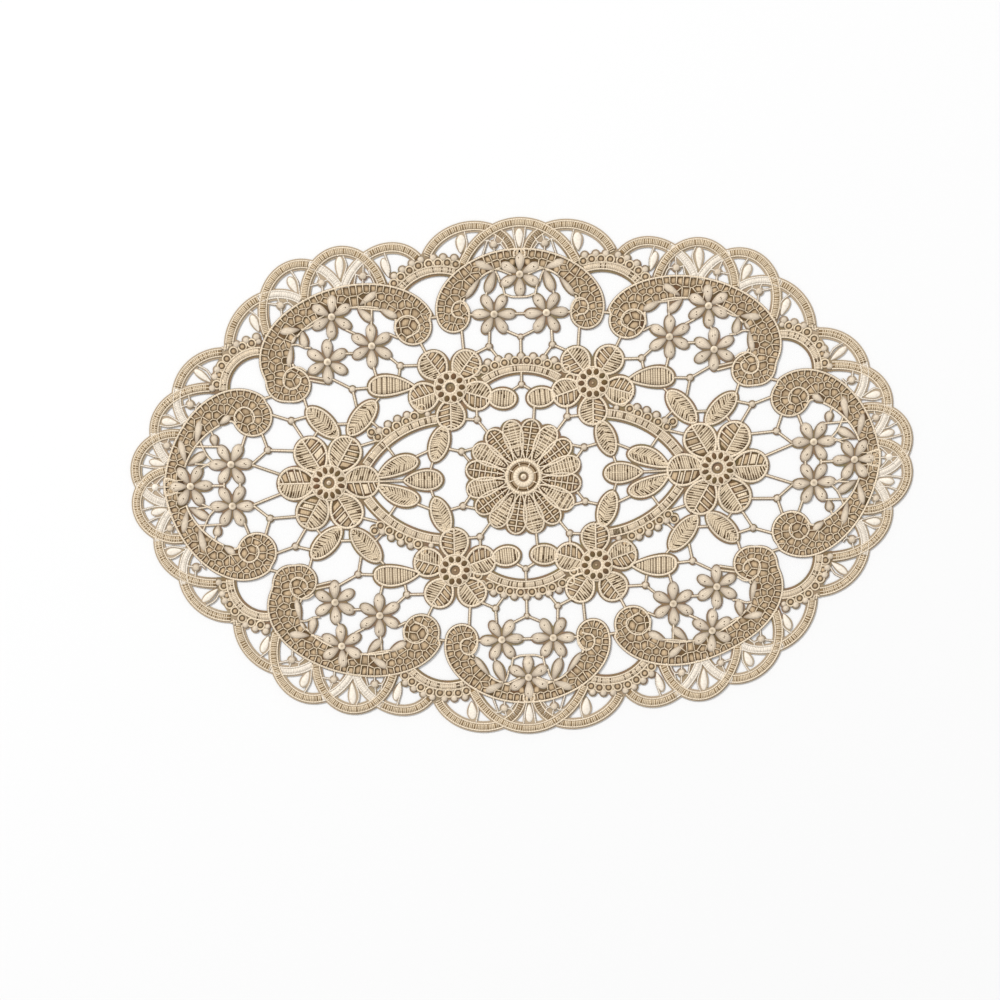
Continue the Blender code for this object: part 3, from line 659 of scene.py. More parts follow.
def trimmed(loop):
    """A loop without doubled points or spikes of no width."""
    while len(loop) > 2:
        before = np.roll(loop, 1, 0)
        doubled = np.hypot(*(loop - before).T) < 2 * JOINED
        spike = np.hypot(*(before - np.roll(loop, -1, 0)).T) < 2 * JOINED
        if not (doubled | spike).any():
            break
        loop = loop[~(doubled | spike)]
    return loop


class Work:
    """Thread work gathered as one mesh; points in the even layout, millimetres."""
    shortest = 0.3      # shorter bits of cord are left out

    def __init__(self):
        self.points, self.faces, self.uvs, self.tones = [], [], [], []
        self.count = 0
        self.rng = random.Random(7)

    def add(self, points, faces, uvs, tone):
        """Add points (n, 3) and faces that number them from nought."""
        base = self.count
        self.points.append(points)
        self.faces += [tuple(base + k for k in face) for face in faces]
        self.uvs.append(uvs)
        self.tones.append(np.full(len(points), tone))
        self.count += len(points)

    def cord(self, path, half, low, high, shape=ROUND, closed=False):
        """A cord along a path; low and high are its heights, single or one a point."""
        path = np.asarray(path, float)
        count = len(path)
        tone = self.rng.random()
        if np.hypot(*np.diff(path, axis=0).T).sum() < self.shortest:
            return
        if closed:
            ahead, behind = np.roll(path, -1, 0), np.roll(path, 1, 0)
        else:
            ahead = np.vstack([path[1:], path[-1:]])
            behind = np.vstack([path[:1], path[:-1]])
        run = ahead - behind
        run /= np.maximum(np.hypot(run[:, 0], run[:, 1]), 1e-9)[:, None]
        left = np.column_stack([-run[:, 1], run[:, 0]])
        low = np.broadcast_to(low, count)
        high = np.broadcast_to(high, count)
        half = np.broadcast_to(half, count)
        sides = len(shape)
        points = np.zeros((count, sides, 3))
        out = (half[:, None] * shape[:, 0])[:, :, None]
        points[:, :, :2] = path[:, None, :] - left[:, None, :] * out
        points[:, :, 2] = low[:, None] + (high - low)[:, None] * shape[:, 1]
        uvs = np.zeros((count, sides, 2))
        uvs[:, :, 0] = distances(path)[:, None]
        uvs[:, :, 1] = (shape[:, 0] + 1) / 2
        faces = []
        for k in range(count if closed else count - 1):
            a, b = k * sides, (k + 1) % count * sides
            for j in range(sides):
                n = (j + 1) % sides
                faces.append((a + j, a + n, b + n, b + j))
        if not closed:
            faces.append(tuple(range(sides))[::-1])
            faces.append(tuple((count - 1) * sides + j for j in range(sides)))
        self.add(points.reshape(-1, 3), faces, uvs.reshape(-1, 2), tone)

    def pad(self, loop, low, high, inner, shoulder=0.7):
        """A low pad in a closed counter-clockwise loop.

        Its edge rises to a share shoulder of the height, and it is flat over a share
        inner of its width.
        """
        tone = self.rng.random()
        loop = trimmed(np.asarray(loop, float))
        if len(loop) < 3:
            return
        count, middle = len(loop), loop.mean(0)
        rings = ((loop, low), (middle + (loop - middle) * 0.88, low + shoulder * (high - low)),
                 (middle + (loop - middle) * inner, high))
        points = np.vstack([np.column_stack([ring, np.full(count, z)]) for ring, z in rings])
        faces = [tuple(range(count))[::-1], tuple(2 * count + k for k in range(count))]
        for row in (0, count):
            for k in range(count):
                n = (k + 1) % count
                faces.append((row + k, row + n, row + count + n, row + count + k))
        self.add(points, faces, points[:, :2], tone)

    def mesh(self, name):
        """The gathered work as a mesh in metres, where it lies."""
        points = np.vstack(self.points)
        points[:, :2] = lie(points[:, :2])
        mesh = bpy.data.meshes.new(name)
        mesh.from_pydata((points * MM).tolist(), [], self.faces)
        layer = mesh.uv_layers.new(name="thread")
        index = np.zeros(len(mesh.loops), np.int32)
        mesh.loops.foreach_get("vertex_index", index)
        layer.data.foreach_set("uv", np.vstack(self.uvs)[index].ravel())
        tones = mesh.attributes.new("tone", "FLOAT", "POINT")
        tones.data.foreach_set("value", np.concatenate(self.tones))
        mesh.polygons.foreach_set("use_smooth", np.ones(len(mesh.polygons), bool))
        return mesh


def between(leaf, s0, s1, t0, t1, inset, slope=0.0, steps=8):
    """A closed counter-clockwise loop between two shares along and two across a leaf."""
    shares = [s0 + (s1 - s0) * k / steps for k in range(steps + 1)]
    back = [s1 + (s0 - s1) * k / steps for k in range(steps + 1)]
    return np.array([leaf.spot(s + slope * t0, t0, inset) for s in shares]
                    + [leaf.spot(s + slope * t1, t1, inset) for s in back])


def lay_pad(work, loop, copy, low, high, inner, shoulder=0.7):
    """Lay a pad and keep its loop counter-clockwise in a mirrored copy."""
    loop = loop * copy
    work.pad(loop if copy[0] * copy[1] > 0 else loop[::-1], low, high, inner, shoulder)


def line_along(leaf, first, length, steps, t, inset=0.0):
    """Points along a leaf from a share first, over a share length, at a share t across."""
    return [leaf.spot(first + length * k / steps, t, inset) for k in range(steps + 1)]


def satin(works, leaf, copy, sides, pitch, slope, rise, inset, rng, slit_share):
    """Satin stitches on a pad, some with a slit left open near their outer ends, drawn as a dark
    strip of painted shade.

    works are the pads, stitches and slits. Each side is a stretch across the leaf, from
    share to share, and its stitches lean by slope and are higher by rise at its middle.
    """
    pads, stitches, slits = works
    count = round(leaf.length / pitch)
    for t0, t1 in sides:
        low, high = min(t0, t1), max(t0, t1)
        lay_pad(pads, between(leaf, 0.06, 0.95, low, high, inset), copy, low=PAD_FOOT, high=1.0,
                inner=0.75)
        for k in range(1, count):
            s = (k + rng.uniform(-0.22, 0.22)) / count
            if leaf.half(s) < inset + 0.5:
                continue
            path, heights = [], []
            for j in range(5):
                t = t0 + (t1 - t0) * j / 4
                path.append(leaf.spot(s + slope * abs(t), t, inset) * copy)
                heights.append(1.02 + rise * (1 - t * t))
            stitches.cord(path, half=pitch * 0.46, low=STITCH_FOOT, high=heights)
            if rng.random() < slit_share:
                middle = rng.choice((0.8, 0.72, 0.3)) * t1
                reach = rng.uniform(0.8, 1.5) / max(leaf.half(s) - inset, 1.0)
                line = [leaf.spot(s + 0.5 / count + slope * abs(t), t, inset) * copy
                        for t in (middle - reach, middle, middle + reach) if abs(t) < 1]
                if len(line) > 1:
                    slits.cord(line, half=0.34, low=0.9, high=1.12 + rise * (1 - middle * middle),
                               shape=FLAT)


def centre_of(a, b, c):
    """The centre of the circle through three points."""
    (ax, ay), (bx, by), (cx, cy) = a, b, c
    d = 2 * (ax * (by - cy) + bx * (cy - ay) + cx * (ay - by))
    x = ((ax * ax + ay * ay) * (by - cy) + (bx * bx + by * by) * (cy - ay)
         + (cx * cx + cy * cy) * (ay - by)) / d
    y = ((ax * ax + ay * ay) * (cx - bx) + (bx * bx + by * by) * (ax - cx)
         + (cx * cx + cy * cy) * (bx - ax)) / d
    return x, y


def voronoi(seeds):
    """Threads between neighbouring seeds and the cell round each seed."""
    farthest = 5.5      # a cell with a corner farther than this from its seed is open
    points = [Vector(seed) for seed in seeds]
    verts, _, tris, _, _, _ = delaunay_2d_cdt(points, [], [], 0, 1e-4, True)
    centres = [centre_of(*(verts[k] for k in tri)) for tri in tris]
    sides, round_seed = {}, {}
    for k, tri in enumerate(tris):
        for a, b in ((tri[0], tri[1]), (tri[1], tri[2]), (tri[2], tri[0])):
            sides.setdefault((min(a, b), max(a, b)), []).append(k)
        for a in tri:
            round_seed.setdefault(a, []).append(centres[k])
    threads = [(centres[pair[0]], centres[pair[1]]) for pair in sides.values() if len(pair) == 2]
    cells = []
    for a, loop in round_seed.items():
        seed = np.array((verts[a][0], verts[a][1]))
        if len(loop) > 3:
            loop = np.array(sorted(loop, key=lambda p: atan2(p[1] - seed[1], p[0] - seed[0])))
            if np.hypot(*(loop - seed).T).max() < farthest:
                cells.append((seed, loop))
    return threads, cells


# ----------------------------------------------------------------- materials

def colour(hexa):
    """A linear colour from its six hex digits."""
    parts = [int(hexa[k:k + 2], 16) / 255 for k in (0, 2, 4)]
    linear = (p / 12.92 if p <= 0.04045 else ((p + 0.055) / 1.055) ** 2.4 for p in parts)
    return tuple(linear) + (1.0,)


def node(tree, kind, at, **settings):
    """Add a node, with its settings and input values."""
    new = tree.nodes.new(kind)
    new.location = at
    for key, value in settings.items():
        if key in new.inputs:
            new.inputs[key].default_value = value
        else:
            setattr(new, key, value)
    return new


def mix(tree, at, share, one, two, kind="MIX"):
    """Mix two colours; each may be a socket or a colour."""
    new = node(tree, "ShaderNodeMix", at, data_type="RGBA", blend_type=kind)
    for socket, value in ((0, share), (6, one), (7, two)):
        if isinstance(value, bpy.types.NodeSocket):
            tree.links.new(value, new.inputs[socket])
        else:
            new.inputs[socket].default_value = value
    return new.outputs[2]


def ramp(tree, at, value, from_min, from_max, to_min, to_max):
    """Map a value from one range to another, held at the ends."""
    new = node(tree, "ShaderNodeMapRange", at)
    for name, number in (("From Min", from_min), ("From Max", from_max),
                         ("To Min", to_min), ("To Max", to_max)):
        new.inputs[name].default_value = number
    tree.links.new(value, new.inputs["Value"])
    return new.outputs["Result"]


def relief(tree, at, height, shader, strength, distance):
    """Raise the surface where a height is high; distance is in metres."""
    bump = node(tree, "ShaderNodeBump", at, Strength=strength, Distance=distance)
    tree.links.new(height, bump.inputs["Height"])
    tree.links.new(bump.outputs["Normal"], shader.inputs["Normal"])


def new_material(name, rough, shine):
    """A rough material with little shine: itself, its nodes and its shader."""
    mat = bpy.data.materials.new(name)
    mat.use_nodes = True
    shader = mat.node_tree.nodes["Principled BSDF"]
    shader.inputs["Roughness"].default_value = rough
    shader.inputs["Specular IOR Level"].default_value = shine
    return mat, mat.node_tree, shader


def thread_material(name, base, deep, low, high, pitch, slant=0.35, edge=0.55, ply_shade=0.3,
                    vary=0.84):
    """Stitched thread: tone by thread, painted shade low between threads and on cord sides, fine ply
    in relief.

    low and high are the heights in millimetres between which painted shade darkens it with depth.
    pitch is the distance between its plies and slant how much they lean. edge is how far out from
    the middle of a cord its sides start to darken with painted shade, and grain how much
    the dips between its plies are darkened with painted shade. vary is how light the darkest thread
    stays.
    """
    mat, tree, shader = new_material(name, rough=0.85, shine=0.2)
    shader.inputs["Sheen Weight"].default_value = 0.2
    shader.inputs["Sheen Roughness"].default_value = 0.5
    base, deep = tuple(base), tuple(deep)
    place_at = node(tree, "ShaderNodeTexCoord", (-1300, 0))
    tone = node(tree, "ShaderNodeAttribute", (-1100, 300), attribute_name="tone")
    shade = tuple(vary * b + 0.06 * d for b, d in zip(base, deep))
    thread = mix(tree, (-700, 300), tone.outputs["Fac"], base + (1.0,), shade + (1.0,))
    fuzz = node(tree, "ShaderNodeTexNoise", (-1100, 60), Scale=850.0, Detail=3.0)
    tree.links.new(place_at.outputs["Object"], fuzz.inputs["Vector"])
    spread = ramp(tree, (-900, 60), fuzz.outputs["Fac"], 0.35, 0.75, 0.0, 0.3)
    thread = mix(tree, (-500, 200), spread, thread, deep + (1.0,))
    run = node(tree, "ShaderNodeUVMap", (-1500, -420), uv_map="thread")
    turn = node(tree, "ShaderNodeMapping", (-1300, -420))
    turn.inputs["Scale"].default_value = (1.0 / pitch, slant / pitch, 1.0)
    tree.links.new(run.outputs["UV"], turn.inputs["Vector"])
    ply = node(tree, "ShaderNodeTexWave", (-1100, -420), wave_type="BANDS", Scale=0.32,
               Distortion=3.0, Detail=2.0)
    ply.inputs["Detail Scale"].default_value = 1.4
    tree.links.new(turn.outputs["Vector"], ply.inputs["Vector"])
    # painted shade: the dips between the plies are darkened
    dips = ramp(tree, (-900, -420), ply.outputs["Fac"], 0.0, 0.45, ply_shade, 0.0)
    thread = mix(tree, (-400, 200), dips, thread, deep + (1.0,))
    parts = node(tree, "ShaderNodeSeparateXYZ", (-1100, -160))
    tree.links.new(place_at.outputs["Object"], parts.inputs["Vector"])
    # painted shade: the lower the surface, the darker, down between the threads
    depth = ramp(tree, (-900, -200), parts.outputs["Z"], low * MM, high * MM, 1.0, 0.0)
    thread = mix(tree, (-300, 120), depth, thread, deep + (1.0,))
    if edge < 1:
        across = node(tree, "ShaderNodeSeparateXYZ", (-1100, -620))
        tree.links.new(run.outputs["UV"], across.inputs["Vector"])
        out = ramp(tree, (-900, -560), across.outputs["Y"], 0.0, 1.0, -1.0, 1.0)
        far = node(tree, "ShaderNodeMath", (-740, -560), operation="ABSOLUTE")
        tree.links.new(out, far.inputs[0])
        # painted shade: the sides of a cord darken out toward its feet
        side = ramp(tree, (-580, -560), far.outputs["Value"], edge, 1.05, 0.0, 0.85)
        thread = mix(tree, (-140, 60), side, thread, deep + (1.0,))
    tree.links.new(thread, shader.inputs["Base Color"])
    relief(tree, (-500, -300), ply.outputs["Fac"], shader, 0.3, 0.25 * MM)
    return mat


def gauze_material(name, light, dark, border=None):
    """The sheer ground under the threads: a fine grid of yarn, lighter toward the border."""
    mat, tree, shader = new_material(name, rough=0.95, shine=0.1)
    place_at = node(tree, "ShaderNodeTexCoord", (-1300, 0))
    yarns = []
    for k, way in enumerate(("X", "Y")):
        wave = node(tree, "ShaderNodeTexWave", (-1000, 200 - 260 * k), wave_type="BANDS",
                    bands_direction=way, Scale=420.0, Distortion=1.2, Detail=1.0)
        tree.links.new(place_at.outputs["Object"], wave.inputs["Vector"])
        yarns.append(wave)
    cross = node(tree, "ShaderNodeMath", (-780, 60), operation="MAXIMUM")
    tree.links.new(yarns[0].outputs["Fac"], cross.inputs[0])
    tree.links.new(yarns[1].outputs["Fac"], cross.inputs[1])
    cloud = node(tree, "ShaderNodeTexNoise", (-1000, -340), Scale=160.0, Detail=2.0)
    tree.links.new(place_at.outputs["Object"], cloud.inputs["Vector"])
    base = mix(tree, (-560, 60), cross.outputs["Value"], dark, light)
    base = mix(tree, (-360, 60), 0.25, base, cloud.outputs["Color"], "SOFT_LIGHT")
    if border:
        oval_at = node(tree, "ShaderNodeVectorMath", (-1000, -600), operation="MULTIPLY")
        oval_at.inputs[1].default_value = (1 / BORDER_OVAL[0], 1 / BORDER_OVAL[1], 0.0)
        tree.links.new(place_at.outputs["Object"], oval_at.inputs[0])
        far = node(tree, "ShaderNodeVectorMath", (-800, -600), operation="LENGTH")
        tree.links.new(oval_at.outputs["Vector"], far.inputs[0])
        share = ramp(tree, (-600, -600), far.outputs["Value"], *BORDER_SHARES, 0.0, 0.65)
        base = mix(tree, (-180, 60), share, base, border)
    tree.links.new(base, shader.inputs["Base Color"])
    relief(tree, (-360, -240), cross.outputs["Value"], shader, 0.4, 0.2 * MM)
    return mat


def table_material():
    """The pale, faintly clouded surface that the doily lies on."""
    mat, tree, shader = new_material("pale_table", rough=0.9, shine=0.05)
    cloud = node(tree, "ShaderNodeTexNoise", (-700, 0), Scale=1.5, Detail=1.0)
    place_at = node(tree, "ShaderNodeTexCoord", (-900, 0))
    tree.links.new(place_at.outputs["Object"], cloud.inputs["Vector"])
    tint = mix(tree, (-400, 0), cloud.outputs["Fac"], colour("e4e4e4"), colour("e3e3e3"))
    tree.links.new(tint, shader.inputs["Base Color"])
    return mat


# ------------------------------------------------------------------ settings

class LaceSettings(bpy.types.PropertyGroup):
    """Sizes and colours of the doily that a user would change."""
    cord_half: bpy.props.FloatProperty(
        name="Cord half width", description="Half the width of an outline cord, millimetres",
        default=0.58, min=0.2, max=2.0)
    cord_top: bpy.props.FloatProperty(
        name="Cord height", description="Height of the cords over the table, millimetres",
        default=1.5, min=0.8, max=2.2)
    hem: bpy.props.FloatProperty(
        name="Hem", description="Ground that shows beyond the outline cords, millimetres",
        default=0.75, min=0.3, max=1.5)
    stitch_pitch: bpy.props.FloatProperty(
        name="Stitch pitch", description="Distance between satin stitches, millimetres",
        default=1.45, min=0.5, max=3.0)
    cell: bpy.props.FloatProperty(
        name="Net cell", description="Width of a cell of the net, millimetres",
        default=4.5, min=2.0, max=8.0)
    cord_colour: bpy.props.FloatVectorProperty(
        name="Cord colour", description="Thread of the outline cords and bars",
        subtype="COLOR", min=0.0, max=1.0, default=colour("f1e0c6")[:3])
    satin_colour: bpy.props.FloatVectorProperty(
        name="Satin colour", description="Thread of the satin stitches",
        subtype="COLOR", min=0.0, max=1.0, default=colour("ead7b9")[:3])
    pale_colour: bpy.props.FloatVectorProperty(
        name="Raised petal colour", description="Thread of the raised petals, buds and beads",
        subtype="COLOR", min=0.0, max=1.0, default=colour("e3d3bc")[:3])
    net_colour: bpy.props.FloatVectorProperty(
        name="Net filling colour", description="Fine filling in the cells of the net",
        subtype="COLOR", min=0.0, max=1.0, default=colour("d3b995")[:3])
    web_colour: bpy.props.FloatVectorProperty(
        name="Web colour", description="Lighter thread in the webs of the border",
        subtype="COLOR", min=0.0, max=1.0, default=colour("eee5d7")[:3])
    tape_colour: bpy.props.FloatVectorProperty(
        name="Tape colour", description="Ground between the stitches of the tapes",
        subtype="COLOR", min=0.0, max=1.0, default=colour("8f7755")[:3])
    # the ground is partly its own colour and partly painted shade: it is kept dark for the shade in
    # small gaps and beside the cords
    ground_colour: bpy.props.FloatVectorProperty(
        name="Ground colour", description="Sheer ground under all the threads",
        subtype="COLOR", min=0.0, max=1.0, default=colour("877257")[:3])
    deep_colour: bpy.props.FloatVectorProperty(
        name="Deep colour", description="Shade down between the threads",
        subtype="COLOR", min=0.0, max=1.0, default=colour("543d22")[:3])


def settings():
    """The settings of this scene."""
    return bpy.context.scene.lace_settings


MATERIALS = {}


def blend(one, two, share_one, share_two):
    """The sum of two colours, each times its share."""
    return tuple(share_one * a + share_two * b for a, b in zip(one, two))


def all_materials():
    """All the doily's materials, by short name."""
    kit = settings()
    deep, ground = tuple(kit.deep_colour), tuple(kit.ground_colour)
    # painted shade colours, mixed in low down, on cord sides and in ply dips: side for the cords, net
    # and light weave, grey for the pale and web threads, dim for the net filling; darkest is the
    # painted shade in the slots
    side = blend(deep, kit.cord_colour, 1.0, 0.16)
    pale_shade = blend(deep, kit.web_colour, 1.0, 0.22)
    dim_shade = blend(ground, deep, 0.45, 0.55)
    dark = tuple(0.75 * g for g in ground)
    darkest = tuple(0.6 * d for d in deep)
    border = blend(ground, kit.cord_colour, 0.55, 0.45)
    return {
        "cord": thread_material("cord_thread", kit.cord_colour, side, low=0.5, high=1.1, pitch=1.5),
        "satin": thread_material("satin_thread", kit.satin_colour, deep, low=0.7, high=1.05,
                                 pitch=1.1),
        "pale": thread_material("pale_thread", kit.pale_colour, pale_shade, low=0.7, high=1.6,
                                pitch=0.07, slant=0.8, edge=1.0),
        "net": thread_material("net_thread", kit.satin_colour, side, low=0.8, high=1.3, pitch=1.2),
        "pad": thread_material("net_filling", kit.net_colour, dim_shade, low=0.7, high=1.1, pitch=1.1,
                               edge=1.0, vary=0.7),
        "tape": thread_material("tape_weave", kit.tape_colour, deep, low=0.3, high=0.7, pitch=1.3,
                                edge=1.0, ply_shade=0.4),
        "weave": thread_material("light_weave", kit.satin_colour, side, low=0.3, high=0.8,
                                 pitch=1.3, edge=1.0, ply_shade=0.35),
        "web": thread_material("web_thread", kit.web_colour, pale_shade, low=0.45, high=0.95, pitch=1.5,
                               vary=0.94),
        "web_pad": thread_material("web_weave", kit.web_colour, pale_shade, low=0.3, high=0.75,
                                   pitch=1.2, edge=1.0, ply_shade=0.2, vary=0.94),
        # slot is painted shade in slits, slots and pinholes; field is partly the thin net ground and
        # partly painted shade, and only painted shade in the eyelets and heart holes
        "slot": gauze_material("slot_shade", deep + (1.0,), darkest + (1.0,)),
        "field": gauze_material("field_gauze", dim_shade + (1.0,), deep + (1.0,)),
        # ground is partly the sheet's own colour and partly painted shade between and beside the
        # threads
        "ground": gauze_material("ground_gauze", ground + (1.0,), dark + (1.0,), border + (1.0,)),
    }


def material(name):
    """One of the doily's materials; they are made once."""
    if not MATERIALS:
        MATERIALS.update(all_materials())
    return MATERIALS[name]


# ------------------------------------------------------------------- placing

def finish_piece(obj, thread):
    """Give a piece its material and hang it on the part."""
    obj.data.materials.append(thread)
    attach(obj, "root")
    return obj


def place(name, mesh, thread):
    """Link a mesh as a piece of the doily."""
    obj = bpy.data.objects.new(name, mesh)
    bpy.context.scene.collection.objects.link(obj)
    return finish_piece(obj, thread)


def place_all(*rows):
    """Place each Work of rows (work, name, material) as a piece."""
    for work, name, kind in rows:
        place(name, work.mesh(name), material(kind))


def deselect():
    """Leave nothing selected."""
    for obj in bpy.context.selected_objects:
        obj.select_set(False)


def stamp(name):
    """Name the new primitive that copies are taken from, and its UV map for the threads."""
    obj = bpy.context.active_object
    obj.name = name
    obj.data.uv_layers[0].name = "thread"
    return obj


def petal_stamp():
    """A domed petal or bud, from 0 to 1 along X, half a unit wide, one high."""
    deselect()
    bpy.ops.mesh.primitive_uv_sphere_add(segments=10, ring_count=8, radius=0.5)
    obj = stamp("petal_stamp")
    bpy.ops.object.mode_set(mode="EDIT")
    bpy.ops.mesh.select_all(action="SELECT")
    bpy.ops.transform.rotate(value=radians(90), orient_axis="Y", center_override=(0, 0, 0))
    bpy.ops.transform.translate(value=(0.5, 0, 0))
    bpy.ops.object.mode_set(mode="OBJECT")
    for vert in obj.data.vertices:
        s = min(max(vert.co.x, 0.0), 1.0)
        narrow = 0.42 + 0.8 * s ** 0.85 if s < 0.7 else 1.01
        vert.co.y *= narrow
        vert.co.z = max(vert.co.z, -0.08) * 2 * min(1.0, narrow)
    return obj


def bead_stamp():
    """A flat-bottomed bead of radius one."""
    deselect()
    bpy.ops.mesh.primitive_uv_sphere_add(segments=12, ring_count=6, radius=1.0)
    obj = stamp("bead_stamp")
    for vert in obj.data.vertices:
        vert.co.z = max(vert.co.z, -0.1)
    return obj


def ring_stamp():
    """A ring of radius one."""
    deselect()
    bpy.ops.mesh.primitive_torus_add(major_segments=16, minor_segments=6,
                                     major_radius=1.0, minor_radius=0.25)
    return stamp("ring_stamp")


def lay_copies(obj, rows, name, kind):
    """Copy a stamp to each row (copies, x, y, turn, long, wide, high, base) and join them."""
    mesh = obj.data
    count = len(mesh.vertices)
    base = np.zeros(count * 3)
    mesh.vertices.foreach_get("co", base)
    base = base.reshape(-1, 3)
    pieces = []
    rng = random.Random(3)
    for copies, x, y, turn, long, wide, high, low in rows:
        for sx, sy in signs(copies):
            new = mesh.copy()
            c, s = cos(radians(turn)), sin(radians(turn))
            px, py = base[:, 0] * long, base[:, 1] * wide
            flat = np.column_stack([x + px * c - py * s, y + px * s + py * c]) * (sx, sy)
            points = np.column_stack([lie(flat), base[:, 2] * high + low]) * MM
            new.vertices.foreach_set("co", points.ravel())
            if sx * sy < 0:
                new.flip_normals()
            tone = new.attributes.new("tone", "FLOAT", "POINT")
            tone.data.foreach_set("value", np.full(count, rng.random()))
            piece = bpy.data.objects.new(name, new)
            bpy.context.scene.collection.objects.link(piece)
            pieces.append(piece)
    bpy.data.objects.remove(obj, do_unlink=True)
    deselect()
    for piece in pieces:
        piece.select_set(True)
    bpy.context.view_layer.objects.active = pieces[0]
    bpy.ops.object.join()
    bpy.ops.object.shade_smooth()
    joined = bpy.context.active_object
    joined.name = name
    joined.data.name = name
    deselect()
    finish_piece(joined, material(kind))


# -------------------------------------------------------------------- pieces

class LACE_OT_ground(bpy.types.Operator):
    """Lay the sheer ground sheet with all its gaps"""
    bl_idname = "lace.ground"
    bl_label = "Ground"

    def execute(self, context):
        loops = lace_loops(settings().hem, GAP_LEAST)
        rings = [np.array(loops[0])] + [np.array(gap[::-1]) for gap in loops[1:]]
        verts, triangles, owners = triangles_of(rings)
        cloth = [tri for tri, owner in zip(triangles, owners) if owner == [0]]
        used = sorted({k for tri in cloth for k in tri})
        spots = lie([(verts[k][0], verts[k][1]) for k in used]) * MM
        mesh = bmesh.new()
        top = {k: mesh.verts.new((x, y, SHEET_TOP * MM)) for k, (x, y) in zip(used, spots)}
        low = {k: mesh.verts.new((x, y, 0.0)) for k, (x, y) in zip(used, spots)}
        for tri in cloth:
            mesh.faces.new([top[k] for k in tri])
            mesh.faces.new([low[k] for k in reversed(tri)])
        for loop in edge_loops(cloth, verts):
            for a, b in zip(loop, loop[1:] + loop[:1]):
                mesh.faces.new((top[a], low[a], low[b], top[b]))
        data = bpy.data.meshes.new("ground_sheet")
        mesh.to_mesh(data)
        mesh.free()
        sheet = place("ground_sheet", data, material("ground"))
        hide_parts("lace")
        return {"FINISHED"}


class Arch:
    """One copy of a border arch: its oval, its ends and its order over the others."""

    def __init__(self, number, row, copy):
        _, cx, cy, a, b, turn, start, stop, order = row
        start, stop = start - 3, stop + 3
        self.number, self.copy = number, copy
        self.oval, self.ends = (cx, cy, a, b, turn), (start, stop)
        self.steps = round(a * radians(stop - start) / EVEN_STEP)
        self.order = order - 0.3 * copy[1]

    def line(self, side=0.0):
        """Points along the arch, moved outward by side."""
        return oval(*self.oval, *self.ends, self.steps, side) * self.copy

    def covers(self, line):
        """Which points of a line pass under this arch."""
        cx, cy, a, b, turn = self.oval
        more = 3.2
        q = line * self.copy - (cx, cy)
        c, s = cos(radians(turn)), sin(radians(turn))
        x, y = q[:, 0] * c + q[:, 1] * s, q[:, 1] * c - q[:, 0] * s
        return (x / (a + more)) ** 2 + (y / (b + more)) ** 2 < 1


class LACE_OT_border(bpy.types.Operator):
    """Stitch the overlapping tape arches of the border and the light webs inside them"""
    bl_idname = "lace.border"
    bl_label = "Border arches"

    def execute(self, context):
        cord, tape, stitch, web, pad = (Work() for _ in range(5))
        scrolls = [edge for edge, _, _ in scroll_edges()]
        arches = [Arch(number, row, copy) for number, row in enumerate(ARCHES)
                  for copy in signs(row[0])]
        for arch in arches:
            line = arch.line()
            free = np.array([not any(inside(edge, abs(p)) for edge in scrolls)
                             and not banded(abs(p), BEAD_STRIPS, 1.2) for p in line])
            under = np.zeros(len(line), bool)
            for other in arches:
                if other.order > arch.order:
                    under |= other.covers(line)
            lift = np.where(under, 0.0, 0.045 * arch.order)
            lift = np.convolve(np.pad(lift, 2, mode="edge"), np.ones(5) / 5, "valid")
            pale = under & (arch.number != DARK_ARCH)
            self.lay_tape(arch, free & ~pale, lift, cord, tape)
            self.lay_tape(arch, free & pale, lift, web, pad)
            self.stitch_tape(arch, free, pale, lift, stitch, pad)
        for kind, path in run_on(WEB_THREADS):
            for copy in signs(kind):
                web.cord(curve(path, 1.2) * copy, half=0.42, low=CORD_FOOT, high=1.1)
        place_all((cord, "arch_cords", "cord"), (tape, "arch_tapes", "tape"),
                  (stitch, "arch_stitches", "satin"), (web, "web_cords", "web"),
                  (pad, "web_tapes", "web_pad"))
        return {"FINISHED"}

    def lay_tape(self, arch, keep, lift, rails, grounds):
        """The edge cords of an arch and the tape between them, where keep holds."""
        line, top = arch.line(), settings().cord_top - 0.25
        for first, last in runs(keep):
            last = min(last + 1, len(line))
            up = lift[first:last]
            for side in ARCH_RAILS:
                rails.cord(arch.line(side)[first:last], half=0.55, low=CORD_FOOT, high=top + up)
            grounds.cord(line[first:last], half=1.8, low=PAD_FOOT, high=0.74 + up, shape=FLAT)
            if arch.number >= RIBBED_ARCH:
                rails.cord(line[first:last], half=0.32, low=0.6, high=1.05 + up)

    def stitch_tape(self, arch, free, pale, lift, stitch, pad):
        """The stitches across an arch, unevenly spaced, in pale thread where pale holds."""
        line, inner, outer = (arch.line(side) for side in (0.0, -1.55, 1.4))
        rng = random.Random(90 + arch.number)
        far = distances(line)
        margin = 0.8
        at = margin
        while at < far[-1] - margin:
            k = min(int(np.searchsorted(far, at)), len(line) - 1)
            if free[k]:
                start, end = (np.array([np.interp(at, far, side[:, j]) for j in (0, 1)])
                              for side in (inner, outer))
                work = pad if pale[k] else stitch
                work.cord([start, (start + end) / 2, end], half=0.45, low=0.55 + lift[k],
                          high=0.96 + lift[k])
            at += rng.choice((0.93, 0.93, 0.93, 1.25, 1.5))


